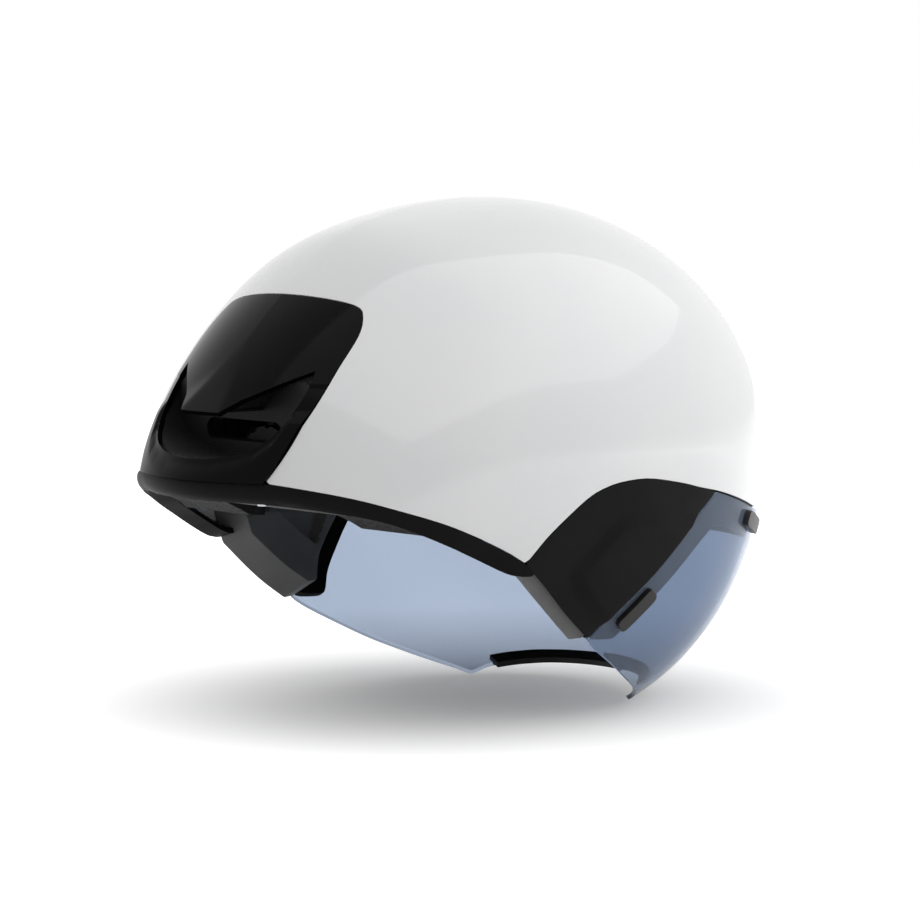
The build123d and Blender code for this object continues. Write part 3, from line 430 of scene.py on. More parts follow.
def cut(sheet, *fields):
    """Keeps a sheet where every field is positive, with a clean edge where a field is zero."""
    snap = 0.22
    halvings = 12
    for field in fields:
        sheet.verts.index_update()
        value = list(field(np.array([v.co[:] for v in sheet.verts])))
        crossed = [e for e in sheet.edges if value[e.verts[0].index] * value[e.verts[1].index] < 0]
        zeros = []
        if crossed:
            first = np.array([e.verts[0].co[:] for e in crossed])
            last = np.array([e.verts[1].co[:] for e in crossed])
            low, high = np.zeros(len(crossed)), np.ones(len(crossed))
            sign = np.array([value[e.verts[0].index] > 0 for e in crossed])
            for _ in range(halvings):
                half = (low + high) / 2
                same = (field(first + (last - first) * half[:, None]) > 0) == sign
                low, high = np.where(same, half, low), np.where(same, high, half)
            share = (low + high) / 2
            for e, s in zip(crossed, share):
                a, b = e.verts
                if s < snap and value[a.index] != 0:
                    a.co = a.co.lerp(b.co, s)
                    value[a.index] = 0
                elif s > 1 - snap and value[b.index] != 0:
                    b.co = a.co.lerp(b.co, s)
                    value[b.index] = 0
            zeros = [v for v in sheet.verts if value[v.index] == 0]
            for e, s in zip(crossed, share):
                a, b = e.verts
                if value[a.index] * value[b.index] < 0:
                    zeros.append(bmesh.utils.edge_split(e, a, s)[1])
        known = {v: value[v.index] for v in sheet.verts if v.index >= 0}
        fresh = set(zeros)
        if zeros:
            bmesh.ops.connect_verts(sheet, verts=zeros)
        gone = []
        for f in sheet.faces:
            total = sum(known.get(v, 0) for v in f.verts if v not in fresh)
            if total < 0 or (total == 0 and field(np.array([f.calc_center_median()[:]]))[0] < 0):
                gone.append(f)
        bmesh.ops.delete(sheet, geom=gone, context="FACES")
    return sheet


def thicken(sheet, depth):
    """Closes a sheet with a back face: a depth under it, a function of its points, or the back points."""
    sheet.normal_update()
    verts = list(sheet.verts)
    points = np.array([v.co[:] for v in verts])
    if callable(depth):
        depth = depth(points)
    if np.ndim(depth) < 2:
        normals = np.array([v.normal[:] for v in verts])
        depth = points - normals * np.broadcast_to(depth, len(verts))[:, None]
    rim = [e.link_loops[0] for e in sheet.edges if len(e.link_faces) == 1]
    rim = [(loop.vert, loop.link_loop_next.vert) for loop in rim]
    back = {v: sheet.verts.new(p) for v, p in zip(verts, depth)}
    for f in list(sheet.faces):
        sheet.faces.new([back[v] for v in reversed(f.verts)])
    for a, b in rim:
        sheet.faces.new((b, a, back[a], back[b]))
    return sheet


def piece(name, shape, finish, body="helmet", stands_for=(), edge=edge_round, sharp=35, steps=3):
    """Makes an object of a bmesh in millimetres, rounds its sharp edges and hangs it on a body."""
    mesh = bpy.data.meshes.new(name)
    bmesh.ops.scale(shape, vec=(MM, MM, MM), verts=shape.verts)
    bmesh.ops.recalc_face_normals(shape, faces=shape.faces)
    shape.to_mesh(mesh)
    shape.free()
    mesh.polygons.foreach_set("use_smooth", [True] * len(mesh.polygons))
    mesh.materials.append(finish.material)
    made = bpy.data.objects.new(name, mesh)
    bpy.context.scene.collection.objects.link(made)
    if edge:
        rounding = made.modifiers.new("rounding", "BEVEL")
        rounding.width = edge * MM
        rounding.segments = steps
        rounding.limit_method = "ANGLE"
        rounding.angle_limit = radians(sharp)
        rounding.miter_outer = "MITER_ARC"
        weights = made.modifiers.new("even_shade", "WEIGHTED_NORMAL")
        weights.keep_sharp = True
    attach(made, body)
    if stands_for:
        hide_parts(*([stands_for] if isinstance(stands_for, str) else stands_for))
    return made


def dress(finish, *names):
    """Gives a finish to carried pieces whose shape stays as it is."""
    for name in names:
        for place in nodes[name].material_slots:
            place.material = finish.material


lacquer_white = Finish(
    "lacquer_white", roughness=0.4, coat_weight=1.0, coat_roughness=0.06, coat_ior=1.5, specular_ior_level=0.3
)
lacquer_cloud = lacquer_white.noise(60 * MM).spread(0.35, 0.7)
lacquer_white.feed("Base Color", lacquer_cloud.mix((0.765, 0.77, 0.78, 1), (0.785, 0.788, 0.793, 1)))
lacquer_white.feed("Roughness", lacquer_white.noise(9 * MM).spread(0.3, 0.7, 0.36, 0.46))
lacquer_white.bump(lacquer_white.noise(2.2 * MM, 1.0), 0.05, 0.2 * MM)

shell_side = moved(panel_side_line[:0:-1], seam, seam)
shell_loop = outline(
    moved(hem_line, 0, seam),
    moved(brow_line, 0, seam),
    [(past_nose, above_crown)],
    [(shell_side[0][0], above_crown)],
    shell_side,
)
shell = thicken(cut(egg_sheet(0, shell_turns, shell_levels, shell_lowest), depth_in(shell_loop)), skin)
piece("shell", shell, lacquer_white, stands_for="outer_shell")


# Tail panel: gloss black moulding let into the shell's tail. A faceted hood stands proud over the exhaust,
# and below the exhaust a polished lip runs round to the band.
hood_apex = (-113.0, 0.0, 70.0)
hood_nose = (-144.2, 13.0, 37.5)
hood_wing = (-112.0, 41.0, 56.0)
hood_ridge_round = 0.8
hood_foot_round = 1.6
hood_fade = (40.0, 54.0)
lip_stand = 1.5
lip_start = 2.5
lip_drop = 6.0
vent_floor = ((0, 19.3), (14, 20), (24, 22), (32, 25), (38, 31), (41.5, 42), (42, 52))
vent_hood = ((41, 55.5), (30, 50), (18, 43.5), (12, 38.2), (0, 37.5))
panel_turns = 240
panel_levels = 110
panel_span = (8, 98)
panel_reach = 0.75
behind_tail = -200


def plane_x(a, b, c, y, z):
    """Where the plane through three points lies along X at y and z."""
    a, b, c = np.array(a), np.array(b), np.array(c)
    across = np.cross(b - a, c - a)
    return a[0] - (across[1] * (y - a[1]) + across[2] * (z - a[2])) / across[0]


def soft_low(a, b, width):
    """The lower of two values, rounded where they meet."""
    return (a + b - np.sqrt((a - b) ** 2 + width**2)) / 2


def hood_stand(points):
    """How far the hood and the lip push the panel's surface to the rear."""
    y, z = np.abs(points[:, 1]), points[:, 2]
    far_nose = (hood_nose[0], -hood_nose[1], hood_nose[2])
    front_facet = plane_x(hood_apex, hood_nose, far_nose, y, z)
    side_facet = plane_x(hood_apex, hood_nose, hood_wing, y, z)
    hood = -soft_low(-front_facet, -side_facet, hood_ridge_round)
    proud = np.maximum(points[:, 0] - soft_low(points[:, 0], hood, hood_foot_round), 0)
    edge = np.interp(y, [p[0] for p in vent_hood[::-1]], [p[1] for p in vent_hood[::-1]])
    proud = np.where(z > edge - lip_drop, proud, 0)
    proud = proud * np.clip((hood_fade[1] - y) / (hood_fade[1] - hood_fade[0]), 0, 1)
    floor_edge = np.interp(y, [p[0] for p in vent_floor[:-1]], [p[1] for p in vent_floor[:-1]])
    lip = np.clip((floor_edge - lip_start - z) / lip_drop, 0, 1)
    return proud + lip_stand * np.sin(lip * pi / 2) * (z < edge)


gloss_black = Finish("gloss_black", specular_ior_level=0.05)
gloss_cloud = gloss_black.noise(30 * MM).spread(0.3, 0.7)
gloss_black.feed("Base Color", gloss_cloud.mix(grey(0.0015, 0.1), grey(0.003, 0.1)))
gloss_black.feed("Roughness", gloss_black.noise(4 * MM, 4).spread(0.35, 0.75, 0.07, 0.14))
gloss_black.bump(gloss_black.noise(1.8 * MM, 1), 0.06, 0.2 * MM)

far_floor = [(-p[0], p[1]) for p in vent_floor[:0:-1]]
far_hood = [(-p[0], p[1]) for p in vent_hood[-2::-1]]
vent_loop = outline(far_floor + list(vent_floor), *[[p] for p in vent_hood[:-1]], *[[p] for p in far_hood])
panel_foot = panel_side_line[0][1]
panel_loop = outline(panel_side_line, [(behind_tail, above_crown)], [(behind_tail, panel_foot)])
panel_heights = np.linspace(*panel_span, panel_levels)
panel_around = np.linspace(pi - panel_reach, pi + panel_reach, panel_turns)
panel_grid = egg_point(panel_heights[:, None], panel_around[None, :])
in_vent = depth_in(vent_loop, (1, 2))
panel = cut(quads(panel_grid), depth_in(panel_loop), lambda points: -in_vent(points))
for v, proud in zip(panel.verts, hood_stand(np.array([v.co[:] for v in panel.verts]))):
    v.co.x -= proud
panel = thicken(panel, skin)
piece("tail_panel", panel, gloss_black, stands_for="tail_fairing", edge=0.5)


# Exhaust tray: box behind the opening in the tail, moulded in black with a fine spark texture, with a slot
# in its front wall for the air from the liner. The undertray has the same finish and is screwed on below.
grain_black = Finish("grain_black", roughness=0.5, specular_ior_level=0.12)
grain = grain_black.noise(0.7 * MM, 3)
grain_black.feed("Base Color", grain_black.noise(14 * MM).spread(0.3, 0.7).mix(grey(0.009), grey(0.013)))
grain_black.feed("Roughness", grain.spread(0.3, 0.7, 0.36, 0.6))
grain_black.bump(grain, 0.6, 0.15 * MM)
dress(grain_black, "exhaust_tray", "undertray")


# Lower band: matte black strip under the hem that runs round the tail from ear to ear. Its foot is drawn in
# under the tail and turned in to a flange that covers the foam's edge.
band_foot_line = (
    (-48, -29.5),
    (-58, -28.5),
    (-74, -21),
    (-86, -15),
    (-106, -6),
    (-122, -1.5),
    (-136, 1.0),
    (-152.5, 2.25),
    (-172.3, 2.25),
)
flange_height = 2.4
flange_depth = 7.9
flange_lap = 0.05
behind_band = -172
tuck_round = 9.0
tuck_most = 0.96
tuck_start = (-92.0, -128.0)
matte_black = Finish("matte_black", specular_ior_level=0.06)
matte_black.feed("Base Color", matte_black.noise(25 * MM).spread(0.3, 0.7).mix(grey(0.003), grey(0.005)))
matte_black.feed("Roughness", matte_black.noise(0.5 * MM, 3).spread(0.3, 0.7, 0.42, 0.6))
matte_black.bump(matte_black.noise(0.45 * MM, 2), 0.35, 0.06 * MM)


def tucked(sheet):
    """Draws the foot of a sheet in under the tail, round from the hem down."""
    sheet.normal_update()
    verts = list(sheet.verts)
    points = np.array([v.co[:] for v in verts])
    hem = np.interp(points[:, 0], [p[0] for p in hem_line], [p[1] for p in hem_line])
    drop = np.clip(hem - points[:, 2], 0, tuck_most * tuck_round)
    share = np.clip((tuck_start[0] - points[:, 0]) / (tuck_start[0] - tuck_start[1]), 0, 1)
    inwards = (tuck_round - np.sqrt(tuck_round**2 - drop**2)) * share * share * (3 - 2 * share)
    for v, depth in zip(verts, inwards):
        level = Vector((v.normal.x, v.normal.y, 0)).normalized()
        v.co -= level * depth
    return sheet


band_loop = outline(hem_line[::-1], [(behind_band, hem_line[0][1])], band_foot_line[::-1])
band = tucked(cut(egg_patch(band_loop, middle=pi, step=1.2), depth_in(band_loop)))
piece("band", thicken(band, skin), matte_black, stands_for="lower_band")
notch = flange_height / (hem_line[-1][1] - band_foot_line[0][1])
lip_end = tuple(low + notch * (high - low) for low, high in zip(band_foot_line[0], hem_line[-1]))
flange_loop = outline(band_foot_line, moved(band_foot_line[:0:-1], 0, flange_height) + [lip_end])
flange = tucked(cut(egg_patch(flange_loop, skin - flange_lap, 1.2, middle=pi), depth_in(flange_loop)))
piece("band_flange", thicken(flange, flange_depth), matte_black)


# Ear covers: matte black plates over the ears, fixed from inside by two screws each. A low bump, framed by a
# sloping border, makes room for the ear.
ear_rear_line = ((-48.0, -29.5), (-43.0, -34.0), (-29.0, -47.0), (-16.0, -57.0), (-12.0, -59.5))
ear_front_line = (
    (-12.0, -59.5),
    (-5.0, -48.5),
    (3.0, -40.0),
    (12.0, -31.2),
    (22.0, -20.5),
    (33.0, -9.5),
    (46.2, 0.4),
)
over_ear = 10
ear_top_line = brow_line[:over_ear]
bump_line = (
    (42, -8.5),
    (28.6, -8),
    (5.2, -5.5),
    (-11.9, -8),
    (-26, -21.5),
    (-31.5, -28),
    (-30, -34),
    (-22, -43),
    (-10, -54),
)
bump_front_line = ((-2, -58), (9, -46), (18, -37), (28, -27), (40, -16))
bump_stand = 2.0
bump_slope = 4.8
cover_black = Finish("cover_black", specular_ior_level=0.05)
cover_black.feed("Base Color", cover_black.noise(30 * MM).spread(0.3, 0.7).mix(grey(0.008), grey(0.011)))
cover_black.feed("Roughness", cover_black.noise(0.6 * MM, 3).spread(0.3, 0.7, 0.44, 0.6))
cover_black.bump(cover_black.noise(0.5 * MM, 2), 0.3, 0.05 * MM)
ear_loop = outline(ear_top_line, ear_front_line[::-1], ear_rear_line[::-1])
in_bump = depth_in(outline(bump_line, bump_front_line))


def rise_over(field, slope):
    """How high a raised field stands at each point, from 0 at its outline to 1 past its slope."""

    def height(points):
        return np.clip(field(points) / slope, 0, 1)

    return height


bump_height = rise_over(in_bump, bump_slope)
for side, name in ((-1, "right"), (1, "left")):
    cover = cut(egg_patch(ear_loop, step=1.3, side=side), depth_in(ear_loop))
    cover.normal_update()
    points = np.array([v.co[:] for v in cover.verts])
    for v, share in zip(cover.verts, bump_height(points)):
        v.co += v.normal * share * bump_stand
    cover = thicken(cover, skin)
    piece("ear_plate_" + name, cover, cover_black, stands_for="ear_cover_" + name)


# Ear flaps: thick semi-rigid flaps under the plates, swollen over the ear, with a three-cornered pocket
# pressed in their inner face. They hang from the liner and take the plates' zinc-plated screws.
reach_up = 9
flap_show = (-3.2, -2.6)
flap_top_line = moved(ear_top_line, 0, reach_up)[:-1] + [(45.9, 9.4)]
flap_front_line = moved(ear_front_line, -seam, 0)
flap_rear_line = moved(ear_rear_line[:-1], *flap_show)
flap_thickness = 7.6
flap_swell = 9.0
swell_heights = (-8.0, -24.0)
pocket_line = ((-36.0, -14.0), (14.0, -19.0), (-4.0, -42.0))
pocket_depth = 5.0
pocket_slope = 1.4
flap_grey = Finish("flap_grey", specular_ior_level=0.25)
flap_grey.feed("Base Color", flap_grey.noise(18 * MM).spread(0.3, 0.7).mix(grey(0.15), grey(0.18)))
flap_grey.feed("Roughness", flap_grey.noise(0.8 * MM, 3).spread(0.3, 0.7, 0.4, 0.55))
flap_grey.bump(flap_grey.noise(0.6 * MM, 2), 0.3, 0.06 * MM)
flap_loop = outline(flap_top_line, flap_front_line[::-1], flap_rear_line[::-1])
pocket = rise_over(depth_in(np.array(pocket_line)), pocket_slope)


def flap_depth(points):
    """How thick the flap is: thin where it hangs from the liner, swollen over the ear, less the pocket."""
    share = np.clip((swell_heights[0] - points[:, 2]) / (swell_heights[0] - swell_heights[1]), 0, 1)
    return flap_thickness + flap_swell * share * share * (3 - 2 * share) - pocket_depth * pocket(points)


for side, name in ((-1, "right"), (1, "left")):
    flap = cut(egg_patch(flap_loop, under, step=1.3, side=side), depth_in(flap_loop))
    flap = thicken(flap, flap_depth)
    piece("ear_flap_" + name, flap, flap_grey, stands_for="ear_inner_" + name, edge=1.0)

screw_zinc = Finish("screw_zinc", metallic=1.0)
screw_zinc.feed("Base Color", screw_zinc.noise(3 * MM).spread(0.3, 0.7).mix(grey(0.4, 0.05), grey(0.5)))
screw_zinc.feed("Roughness", screw_zinc.noise(0.6 * MM, 3).spread(0.3, 0.7, 0.22, 0.4))
screw_zinc.bump(screw_zinc.noise(0.3 * MM), 0.2, 0.03 * MM)
dress(screw_zinc, "ear_screws", "undertray_screws", "dial_screw")


# Eyeport frame: one black moulding from ear to ear above the eyes, under the shell's brow. The visor closes
# on it, held by four magnets let into its face.
frame_foot_line = (
    (-12, -60),
    (3, -61.2),
    (6.5, -59.5),
    (12.3, -51.5),
    (22, -41.5),
    (37, -25.8),
    (45, -18.8),
    (51, -15.5),
    (60, -16.5),
    (78, -21),
    (110, -28),
    (165.8, -32),
)
frame_thickness = 3.8
magnet_stand = 0.15
frame_front_line = moved(ear_front_line, seam, 0)
frame_top_line = [(46.5, 9.4)] + moved(brow_line[over_ear:], 0, reach_up)
frame_loop = outline(frame_front_line, frame_top_line, frame_foot_line[::-1])
eyeport = cut(egg_patch(frame_loop, under + magnet_stand, step=1.8), depth_in(frame_loop))
eyeport = thicken(eyeport, frame_thickness - magnet_stand)
piece("eyeport", eyeport, matte_black, stands_for="eyeport_frame")
nickel = Finish("nickel", metallic=1.0)
nickel.feed("Base Color", nickel.noise(4 * MM).spread(0.3, 0.7).mix(grey(0.58), grey(0.66)))
nickel.feed("Roughness", nickel.noise(0.8 * MM, 3).spread(0.3, 0.7, 0.16, 0.3))
dress(nickel, "keeper_magnets", "visor_magnets")


# Visor: one moulded lens in a pale blue tint that wraps from ear to ear and comes down to two tips beside
# the nose. It lies flush with the shell and pulls straight off its magnets.
visor_gap = 0.5
lens_thickness = 2.2
visor_foot_line = ((-12, -60.4), (-6.1, -65), (12, -75), (25, -82), (42, -90), (57, -97))
nose_line = ((64, -98.4), (72, -96.3), (86, -94), (101, -92.5), (163, -88))
visor_tip = (60.5, -99.3)
tint_pale = (0.41, 0.48, 0.6, 1)
tint_deep = (0.38, 0.45, 0.57, 1)
lens_blue = Finish("lens_blue", transmission_weight=0.8, ior=1.12)
lens_blue.feed("Base Color", lens_blue.noise(90 * MM, 1).spread(0.35, 0.65).mix(tint_deep, tint_pale))
lens_blue.feed("Roughness", lens_blue.noise(12 * MM, 3).spread(0.3, 0.7, 0.01, 0.03))
visor_rear_line = moved(ear_front_line, visor_gap, -visor_gap)
visor_top_line = [visor_rear_line[-1]] + moved(brow_line[over_ear:], 0, -visor_gap)
visor_loop = outline(visor_rear_line, visor_top_line, nose_line[::-1], [visor_tip], visor_foot_line[::-1])
visor = thicken(cut(egg_patch(visor_loop, step=2.2), depth_in(visor_loop)), lens_thickness)
piece("visor_glass", visor, lens_blue, "visor", "visor_lens", edge=0.5)


# Nose trim: bead of soft black rubber with rounded corners. It is pushed on the lens edge over the nose, so
# that the edge doesn't touch the skin.
trim_start = 74.0
trim_up = 1.9
trim_down = 1.1
trim_stand = 0.7
trim_round = 0.9
trim_rubber = Finish("trim_rubber", specular_ior_level=0.15)
trim_rubber.feed("Base Color", trim_rubber.noise(10 * MM).spread(0.3, 0.7).mix(grey(0.007), grey(0.011)))
trim_rubber.feed("Roughness", trim_rubber.noise(1.2 * MM, 3).spread(0.3, 0.7, 0.38, 0.52))
trim_rubber.bump(trim_rubber.noise(0.8 * MM), 0.2, 0.05 * MM)
trim_loop = outline(moved(nose_line, 0, -trim_down), moved(nose_line[::-1], 0, trim_up))
trim_depth = lens_thickness + 2 * trim_stand
trim = egg_patch(trim_loop, -trim_stand, step=1.2)
trim = cut(trim, depth_in(trim_loop), lambda points: points[:, 0] - trim_start)
trim = thicken(trim, trim_depth)
piece("nose_bead", trim, trim_rubber, "visor", "nose_trim", edge=trim_round, steps=4)


# Visor caps: four small brown-black mouldings with round corners, two on each side of the visor. They are
# glued on the lens, each over a magnet.
cap_spots = (((7.2, -48.6), 48.0), ((85.7, -17.2), -20.0))
cap_length = 20.0
cap_width = 7.0
cap_height = 2.6
cap_corner = 2.2
cap_sink = 0.05
cap_black = Finish("cap_black", specular_ior_level=0.35)
cap_cloud = cap_black.noise(8 * MM).spread(0.3, 0.7)
cap_black.feed("Base Color", cap_cloud.mix((0.009, 0.0075, 0.007, 1), (0.014, 0.011, 0.01, 1)))
cap_black.feed("Roughness", cap_black.noise(0.7 * MM, 3).spread(0.3, 0.7, 0.35, 0.5))
cap_black.bump(cap_black.noise(0.5 * MM), 0.25, 0.05 * MM)


def rounded(length, width, corner, spot=(0, 0), angle=0.0, steps=8):
    """Closed outline of a rectangle with round corners, turned by an angle about its middle."""
    points = []
    for quarter in range(4):
        way_x, way_y = ((1, 1), (-1, 1), (-1, -1), (1, -1))[quarter]
        for t in np.linspace(quarter, quarter + 1, steps):
            x = way_x * (length / 2 - corner) + corner * cos(t * pi / 2)
            y = way_y * (width / 2 - corner) + corner * sin(t * pi / 2)
            points.append((x, y))
    turn = radians(angle)
    points = np.array(points)
    return points @ np.array([[cos(turn), sin(turn)], [-sin(turn), cos(turn)]]) + np.array(spot)


def joined(shapes):
    """Several bmeshes in one."""
    whole = bmesh.new()
    for shape in shapes:
        spare = bpy.data.meshes.new("spare")
        shape.to_mesh(spare)
        whole.from_mesh(spare)
        bpy.data.meshes.remove(spare)
        shape.free()
    return whole


caps = []
for spot, angle in cap_spots:
    cap_loop = rounded(cap_length, cap_width, cap_corner, spot, angle)
    for side in (-1, 1):
        cap = cut(egg_patch(cap_loop, -cap_height, step=0.8, side=side), depth_in(cap_loop))
        caps.append(thicken(cap, cap_height - cap_sink))
piece("caps", joined(caps), cap_black, "visor", "visor_caps", edge=1.1, steps=4)


# Liner: black bead foam moulded to the shell, with air channels along the crown, a recess for the dial and
# a duct to the tail.
foam_bead = Finish("foam_bead", specular_ior_level=0.12)
bead_size = 2.6 * MM
foam_bead.feed("Base Color", foam_bead.cells(bead_size).spread(0.1, 0.7).mix(grey(0.018), grey(0.009)))
foam_bead.feed("Roughness", foam_bead.noise(1.5 * MM, 3).spread(0.3, 0.7, 0.55, 0.75))
foam_bead.bump(1 - foam_bead.cells(bead_size), 0.5, 0.25 * MM)
dress(foam_bead, "liner")


# Comfort pads: brushed knit over soft foam, welded flat round their edge and pressed with a few channels.
# They stick to the liner at the brow, the temples and the crown, and one lines the cradle at the nape.
cavity_x = 18.0
cavity_long = 106.0
cavity_wide = 83.0
cavity_top = 92.0
cavity_shoulder = 8.0
cavity_power = 2.3
pad_gap = 0.3
pad_thickness = 6.0
pad_corner = 6.0
pad_step = 1.2
pad_rim = 2.2
pad_rim_thickness = 1.5
pad_shoulder = 8.0
channel_half = 1.5
channel_share = 0.5
wrinkle_height = 0.18
wrinkle_rate = 0.9
wrinkle_drift = 0.31
basket_x = -24.0
basket_inner = 57.6
nape_thickness = 3.0

pad_knit = Finish("pad_knit", roughness=0.85, specular_ior_level=0.25, sheen_weight=0.35, sheen_roughness=0.5)
knit_cloud = pad_knit.noise(7 * MM, 3).spread(0.3, 0.7)
knit = pad_knit.cells(0.55 * MM)
pad_knit.feed("Base Color", knit_cloud.mix(grey(0.018), grey(0.03)))
pad_knit.bump(knit + pad_knit.noise(0.25 * MM) * 0.5, 0.7, 0.12 * MM)
thread_grey = Finish("thread_grey", roughness=0.7, sheen_weight=0.3)
thread_grey.feed("Base Color", thread_grey.noise(1.5 * MM).spread(0.3, 0.7).mix(grey(0.05), grey(0.09)))
thread_grey.bump(thread_grey.noise(0.3 * MM), 0.4, 0.05 * MM)


def cavity_girth(z, inset):
    """Share of the full ring that the head cavity has at height z."""
    level = np.clip((z - cavity_shoulder) / (cavity_top - inset - cavity_shoulder), 0, 1)
    return (1 - level**cavity_power) ** (1 / cavity_power)


def brow_wall(p, q, inset):
    """Point of the cavity's front wall at y = p and z = q."""
    girth = cavity_girth(q, inset)
    reach = np.sqrt(np.maximum(1 - (p / ((cavity_wide - inset) * girth)) ** 2, 0))
    return np.stack([cavity_x + (cavity_long - inset) * girth * reach, p, q], axis=-1)


def side_wall(side):
    """A function that gives the point of a side wall at x = p and z = q."""

    def wall(p, q, inset):
        girth = cavity_girth(q, inset)
        reach = np.sqrt(np.maximum(1 - ((p - cavity_x) / ((cavity_long - inset) * girth)) ** 2, 0))
        return np.stack([p, side * (cavity_wide - inset) * girth * reach, q], axis=-1)

    return wall


def crown_wall(p, q, inset):
    """Point of the cavity's roof at x = p and y = q."""
    out = np.sqrt(((p - cavity_x) / (cavity_long - inset)) ** 2 + (q / (cavity_wide - inset)) ** 2)
    level = np.maximum(1 - out**cavity_power, 0) ** (1 / cavity_power)
    return np.stack([p, q, cavity_shoulder + level * (cavity_top - inset - cavity_shoulder)], axis=-1)


def nape_wall(p, q, inset):
    """Point inside the basket, p along its arc and at z = q."""
    turn = p / basket_inner
    radius = basket_inner - inset
    return np.stack([basket_x - radius * np.cos(turn), radius * np.sin(turn), q], axis=-1)


stitch_pitch = 2.8
stitch_length = 1.9
stitch_half = 0.28
stitch_sides = 6
stitch_profile = ((0.0, 0.35), (0.2, 0.9), (0.5, 1.0), (0.8, 0.9), (1.0, 0.35))


def seam_line(name, wall, loop, body):
    """A row of stitches along a closed line on a pad's welded rim."""
    steps = np.linalg.norm(np.roll(loop, -1, axis=0) - loop, axis=1)
    run = np.concatenate([[0], np.cumsum(steps)])
    ring = np.vstack([loop, loop[:1]])
    count = int(run[-1] / stitch_pitch)
    shape = bmesh.new()
    for i in range(count):
        ends = []
        for way in (-1, 1):
            s = (run[-1] * i / count + way * stitch_length / 2) % run[-1]
            p, q = np.interp(s, run, ring[:, 0]), np.interp(s, run, ring[:, 1])
            low = pad_gap + pad_rim_thickness
            ends.append([Vector(wall(np.array(p), np.array(q), low + d)) for d in (0.0, 1.0)])
        along = (ends[1][0] - ends[0][0]).normalized()
        out = (ends[0][1] - ends[0][0]).normalized()
        across = along.cross(out)
        rows = []
        for share, girth in stitch_profile:
            middle = ends[0][0].lerp(ends[1][0], share)
            turns = np.linspace(0, 2 * pi, stitch_sides + 1)[:-1]
            rows.append([middle + (across * cos(a) + out * sin(a)) * stitch_half * girth for a in turns])
        made = [[shape.verts.new(p) for p in row] for row in rows]
        for first, last in zip(made, made[1:]):
            for a in range(stitch_sides):
                b = (a + 1) % stitch_sides
                shape.faces.new((first[a], first[b], last[b], last[a]))
        shape.faces.new(made[0][::-1])
        shape.faces.new(made[-1])
    piece(name, shape, thread_grey, body, edge=0)


def pad(name, wall, middle, size, channels, thickness=pad_thickness, body="helmet"):
    """A welded knit pad on a wall: channels are lines (axis, place) across its puffed middle."""
    loop = rounded(*size, pad_corner, middle)
    low, high = loop.min(0) - pad_step, loop.max(0) + pad_step
    along = np.linspace(low[0], high[0], int((high[0] - low[0]) / pad_step))
    up = np.linspace(low[1], high[1], int((high[1] - low[1]) / pad_step))
    flat = np.stack([*np.meshgrid(along, up), np.zeros((len(up), len(along)))], axis=-1)
    inside = depth_in(loop, (0, 1))
    sheet = cut(quads(flat), inside)
    points = np.array([v.co[:] for v in sheet.verts])
    share = np.clip((inside(points) - pad_rim) / pad_shoulder, 0, 1)
    puff = np.sqrt(1 - (1 - share) ** 2)
    for axis, place in channels:
        gap = np.abs(points[:, axis] - place)
        puff = puff * (1 - channel_share * np.exp(-((gap / channel_half) ** 2)))
    wander = 3 * np.sin(points[:, 1] * wrinkle_drift)
    wrinkle = wrinkle_height * np.sin(points[:, 0] * wrinkle_rate + wander) * share * (1 - share) * 4
    depth = pad_rim_thickness + (thickness - pad_rim_thickness) * puff + wrinkle * (thickness / pad_thickness)
    front = wall(points[:, 0], points[:, 1], pad_gap + depth)
    back = wall(points[:, 0], points[:, 1], np.full(len(points), pad_gap))
    for v, place in zip(sheet.verts, front):
        v.co = place
    made = piece(name + "_knit", thicken(sheet, back), pad_knit, body, name, edge=0.5, sharp=50)
    seam_loop = rounded(size[0] - pad_rim, size[1] - pad_rim, pad_corner - pad_rim / 2, middle)
    seam_line(name + "_seam", wall, seam_loop, body)


pad("brow_pad", brow_wall, (0, 10), (112, 24), [(0, -38), (0, -13), (0, 13), (0, 38)])
pad("crown_pad_front", crown_wall, (56, 0), (42, 58), [(1, -14), (1, 14)])
pad("crown_pad_rear", crown_wall, (-28, 0), (42, 58), [(1, -14), (1, 14)])
for side, name in ((-1, "right"), (1, "left")):
    pad("temple_pad_" + name, side_wall(side), (66, 26), (34, 26), [(0, 66)])
nape_width = 2 * radians(30) * basket_inner
pad("nape_pad", nape_wall, (0, 12), (nape_width, 30), [(0, -15), (0, 0), (0, 15)], nape_thickness, "cradle")


# Chin strap: woven webbing, forked below a plate each side and tucked up under the crown, where its buckle
# joins it. The feet of the webs go into blocks let into the liner.
web_width = 14.0
web_thickness = 1.5
web_middle_x = 8.0
web_feet = ((44.0, -3.0), (-34.0, -3.0))
fork_height = 34.0
bridge_height = 79.0
socket_end = 21.0
plug_end = 25.4
web_bite = 5.5
web_lift = 0.05
plate_lap = 6
climb_end = 70
bend_start = 71.5
bend_rise = 1.2
bend_inward = 2.5
leg_rows = 24
climb_rows = 22
bend_rows = 8
flat_rows = 12
web_woven = Finish(
    "web_woven", roughness=0.75, specular_ior_level=0.25, sheen_weight=0.25, sheen_roughness=0.4
)
weave = web_woven.waves(0.9 * MM, "DIAGONAL") * web_woven.waves(1.1 * MM, "Z")
web_woven.feed("Base Color", weave.spread(0.1, 0.8).mix(grey(0.009), grey(0.024)))
web_woven.bump(weave, 0.6, 0.15 * MM)


def ribbon(path, widthways, outward):
    """A flat web with rounded edges along a path of points."""
    profile = rounded(web_width, web_thickness, web_thickness * 0.45, steps=4)
    rows = [[p + w * a + o * b for a, b in profile] for p, w, o in zip(path, widthways, outward)]
    shape = quads(np.array(rows), closed=True)
    shape.verts.ensure_lookup_table()
    verts = list(shape.verts)
    shape.faces.new(verts[: len(profile)][::-1])
    shape.faces.new(verts[-len(profile) :])
    return shape


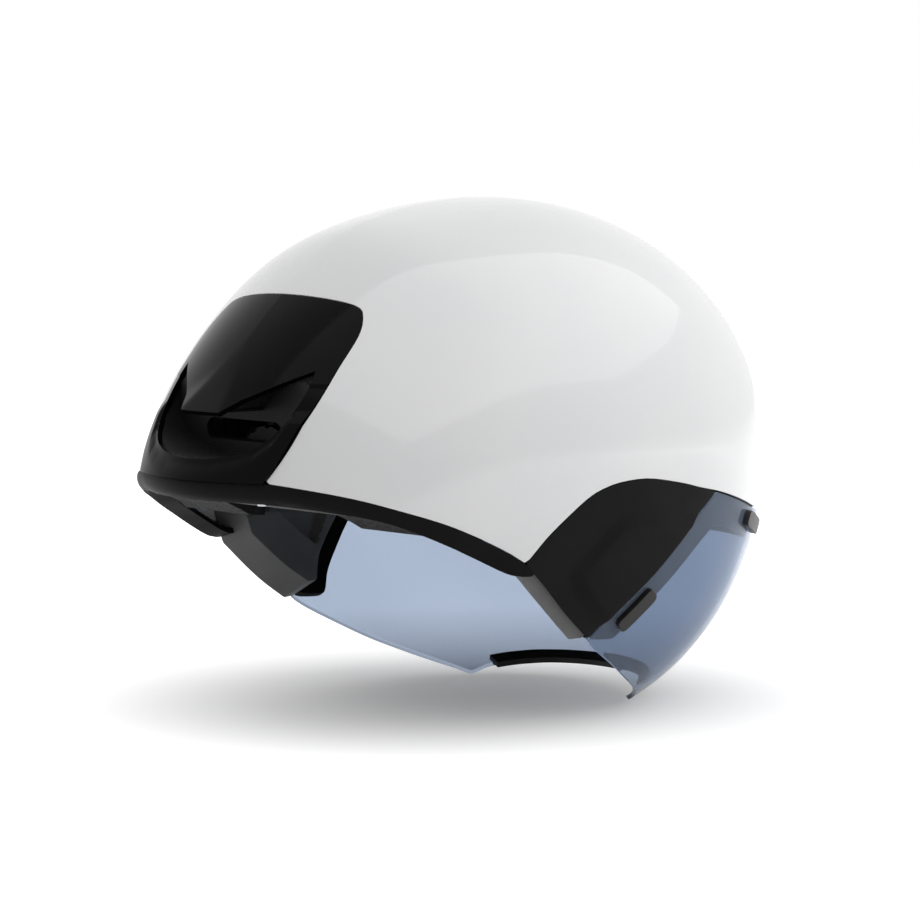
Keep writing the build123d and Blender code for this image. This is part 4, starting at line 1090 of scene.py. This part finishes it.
def framed(path, hint):
    """The width and outward directions of a web along a path, its width kept near a hint."""
    path = np.array(path)
    along = np.gradient(path, axis=0)
    along /= np.linalg.norm(along, axis=1)[:, None]
    outward = np.cross(along, hint)
    outward /= np.linalg.norm(outward, axis=1)[:, None]
    return path, np.cross(outward, along), outward


for side, name, end in ((-1, "right", plug_end), (1, "left", socket_end)):
    wall = side_wall(side)
    middle = pad_gap + web_thickness / 2 + web_lift
    webs = []
    for foot in web_feet:
        share = np.linspace(0, 1, leg_rows)
        x = foot[0] + (web_middle_x - foot[0]) * share
        z = foot[1] + (fork_height - foot[1]) * share
        leg = wall(x, z, np.full(leg_rows, middle))
        run = leg[-1] - leg[0]
        webs.append(ribbon(*framed(leg, np.cross(run, (0, side, 0)) / np.linalg.norm(run))))
    straight = np.linspace(fork_height - plate_lap, climb_end, climb_rows)
    bend = np.linspace(bend_start, bridge_height + bend_rise, bend_rows)
    z = np.concatenate([straight, bend])
    climb = wall(np.full(len(z), web_middle_x), z, np.full(len(z), middle))
    bend_y = abs(climb[-1][1])
    flat_y = np.linspace(bend_y - bend_inward, end - web_bite, flat_rows)
    flat = [(web_middle_x, side * y, bridge_height) for y in flat_y]
    path = smooth(np.vstack([climb[:-1:2], flat]), 3)
    webs.append(ribbon(*framed(path, (1.0, 0.0, 0.0))))
    piece("web_" + name, joined(webs), web_woven, stands_for="strap_" + name, edge=0)

buckle_black = Finish("buckle_black", specular_ior_level=0.45)
buckle_black.feed("Base Color", buckle_black.noise(12 * MM).spread(0.3, 0.7).mix(grey(0.01), grey(0.016)))
buckle_black.feed("Roughness", buckle_black.noise(1.5 * MM, 3).spread(0.3, 0.7, 0.24, 0.38))
buckle_black.bump(buckle_black.noise(0.9 * MM), 0.15, 0.04 * MM)
dress(buckle_black, "divider_right", "divider_left", "buckle_socket", "buckle_plug")


# Head-fit cradle: a nylon basket behind the head that slides on two stems, with a dial on its back. The dial
# turns a small gear between two toothed bands, which draw the side arms in.
nylon_black = Finish("nylon_black", specular_ior_level=0.4)
nylon_black.feed("Base Color", nylon_black.noise(16 * MM).spread(0.3, 0.7).mix(grey(0.016), grey(0.024)))
nylon_black.feed("Roughness", nylon_black.noise(0.9 * MM, 3).spread(0.3, 0.7, 0.34, 0.5))
nylon_black.bump(nylon_black.noise(0.7 * MM), 0.25, 0.05 * MM)
dress(nylon_black, "cradle", "cradle_guides", "dial_housing", "dial_pinion", "strap_anchors")
dress(nylon_black, "band_left", "band_right")
grip_rubber = Finish("grip_rubber", specular_ior_level=0.35)
grip_rubber.feed("Base Color", grip_rubber.noise(9 * MM).spread(0.3, 0.7).mix(grey(0.018), grey(0.026)))
grip_rubber.feed("Roughness", grip_rubber.noise(0.7 * MM, 3).spread(0.3, 0.7, 0.55, 0.72))
grip_rubber.bump(grip_rubber.noise(0.5 * MM), 0.35, 0.06 * MM)
dress(grip_rubber, "dial_knob")
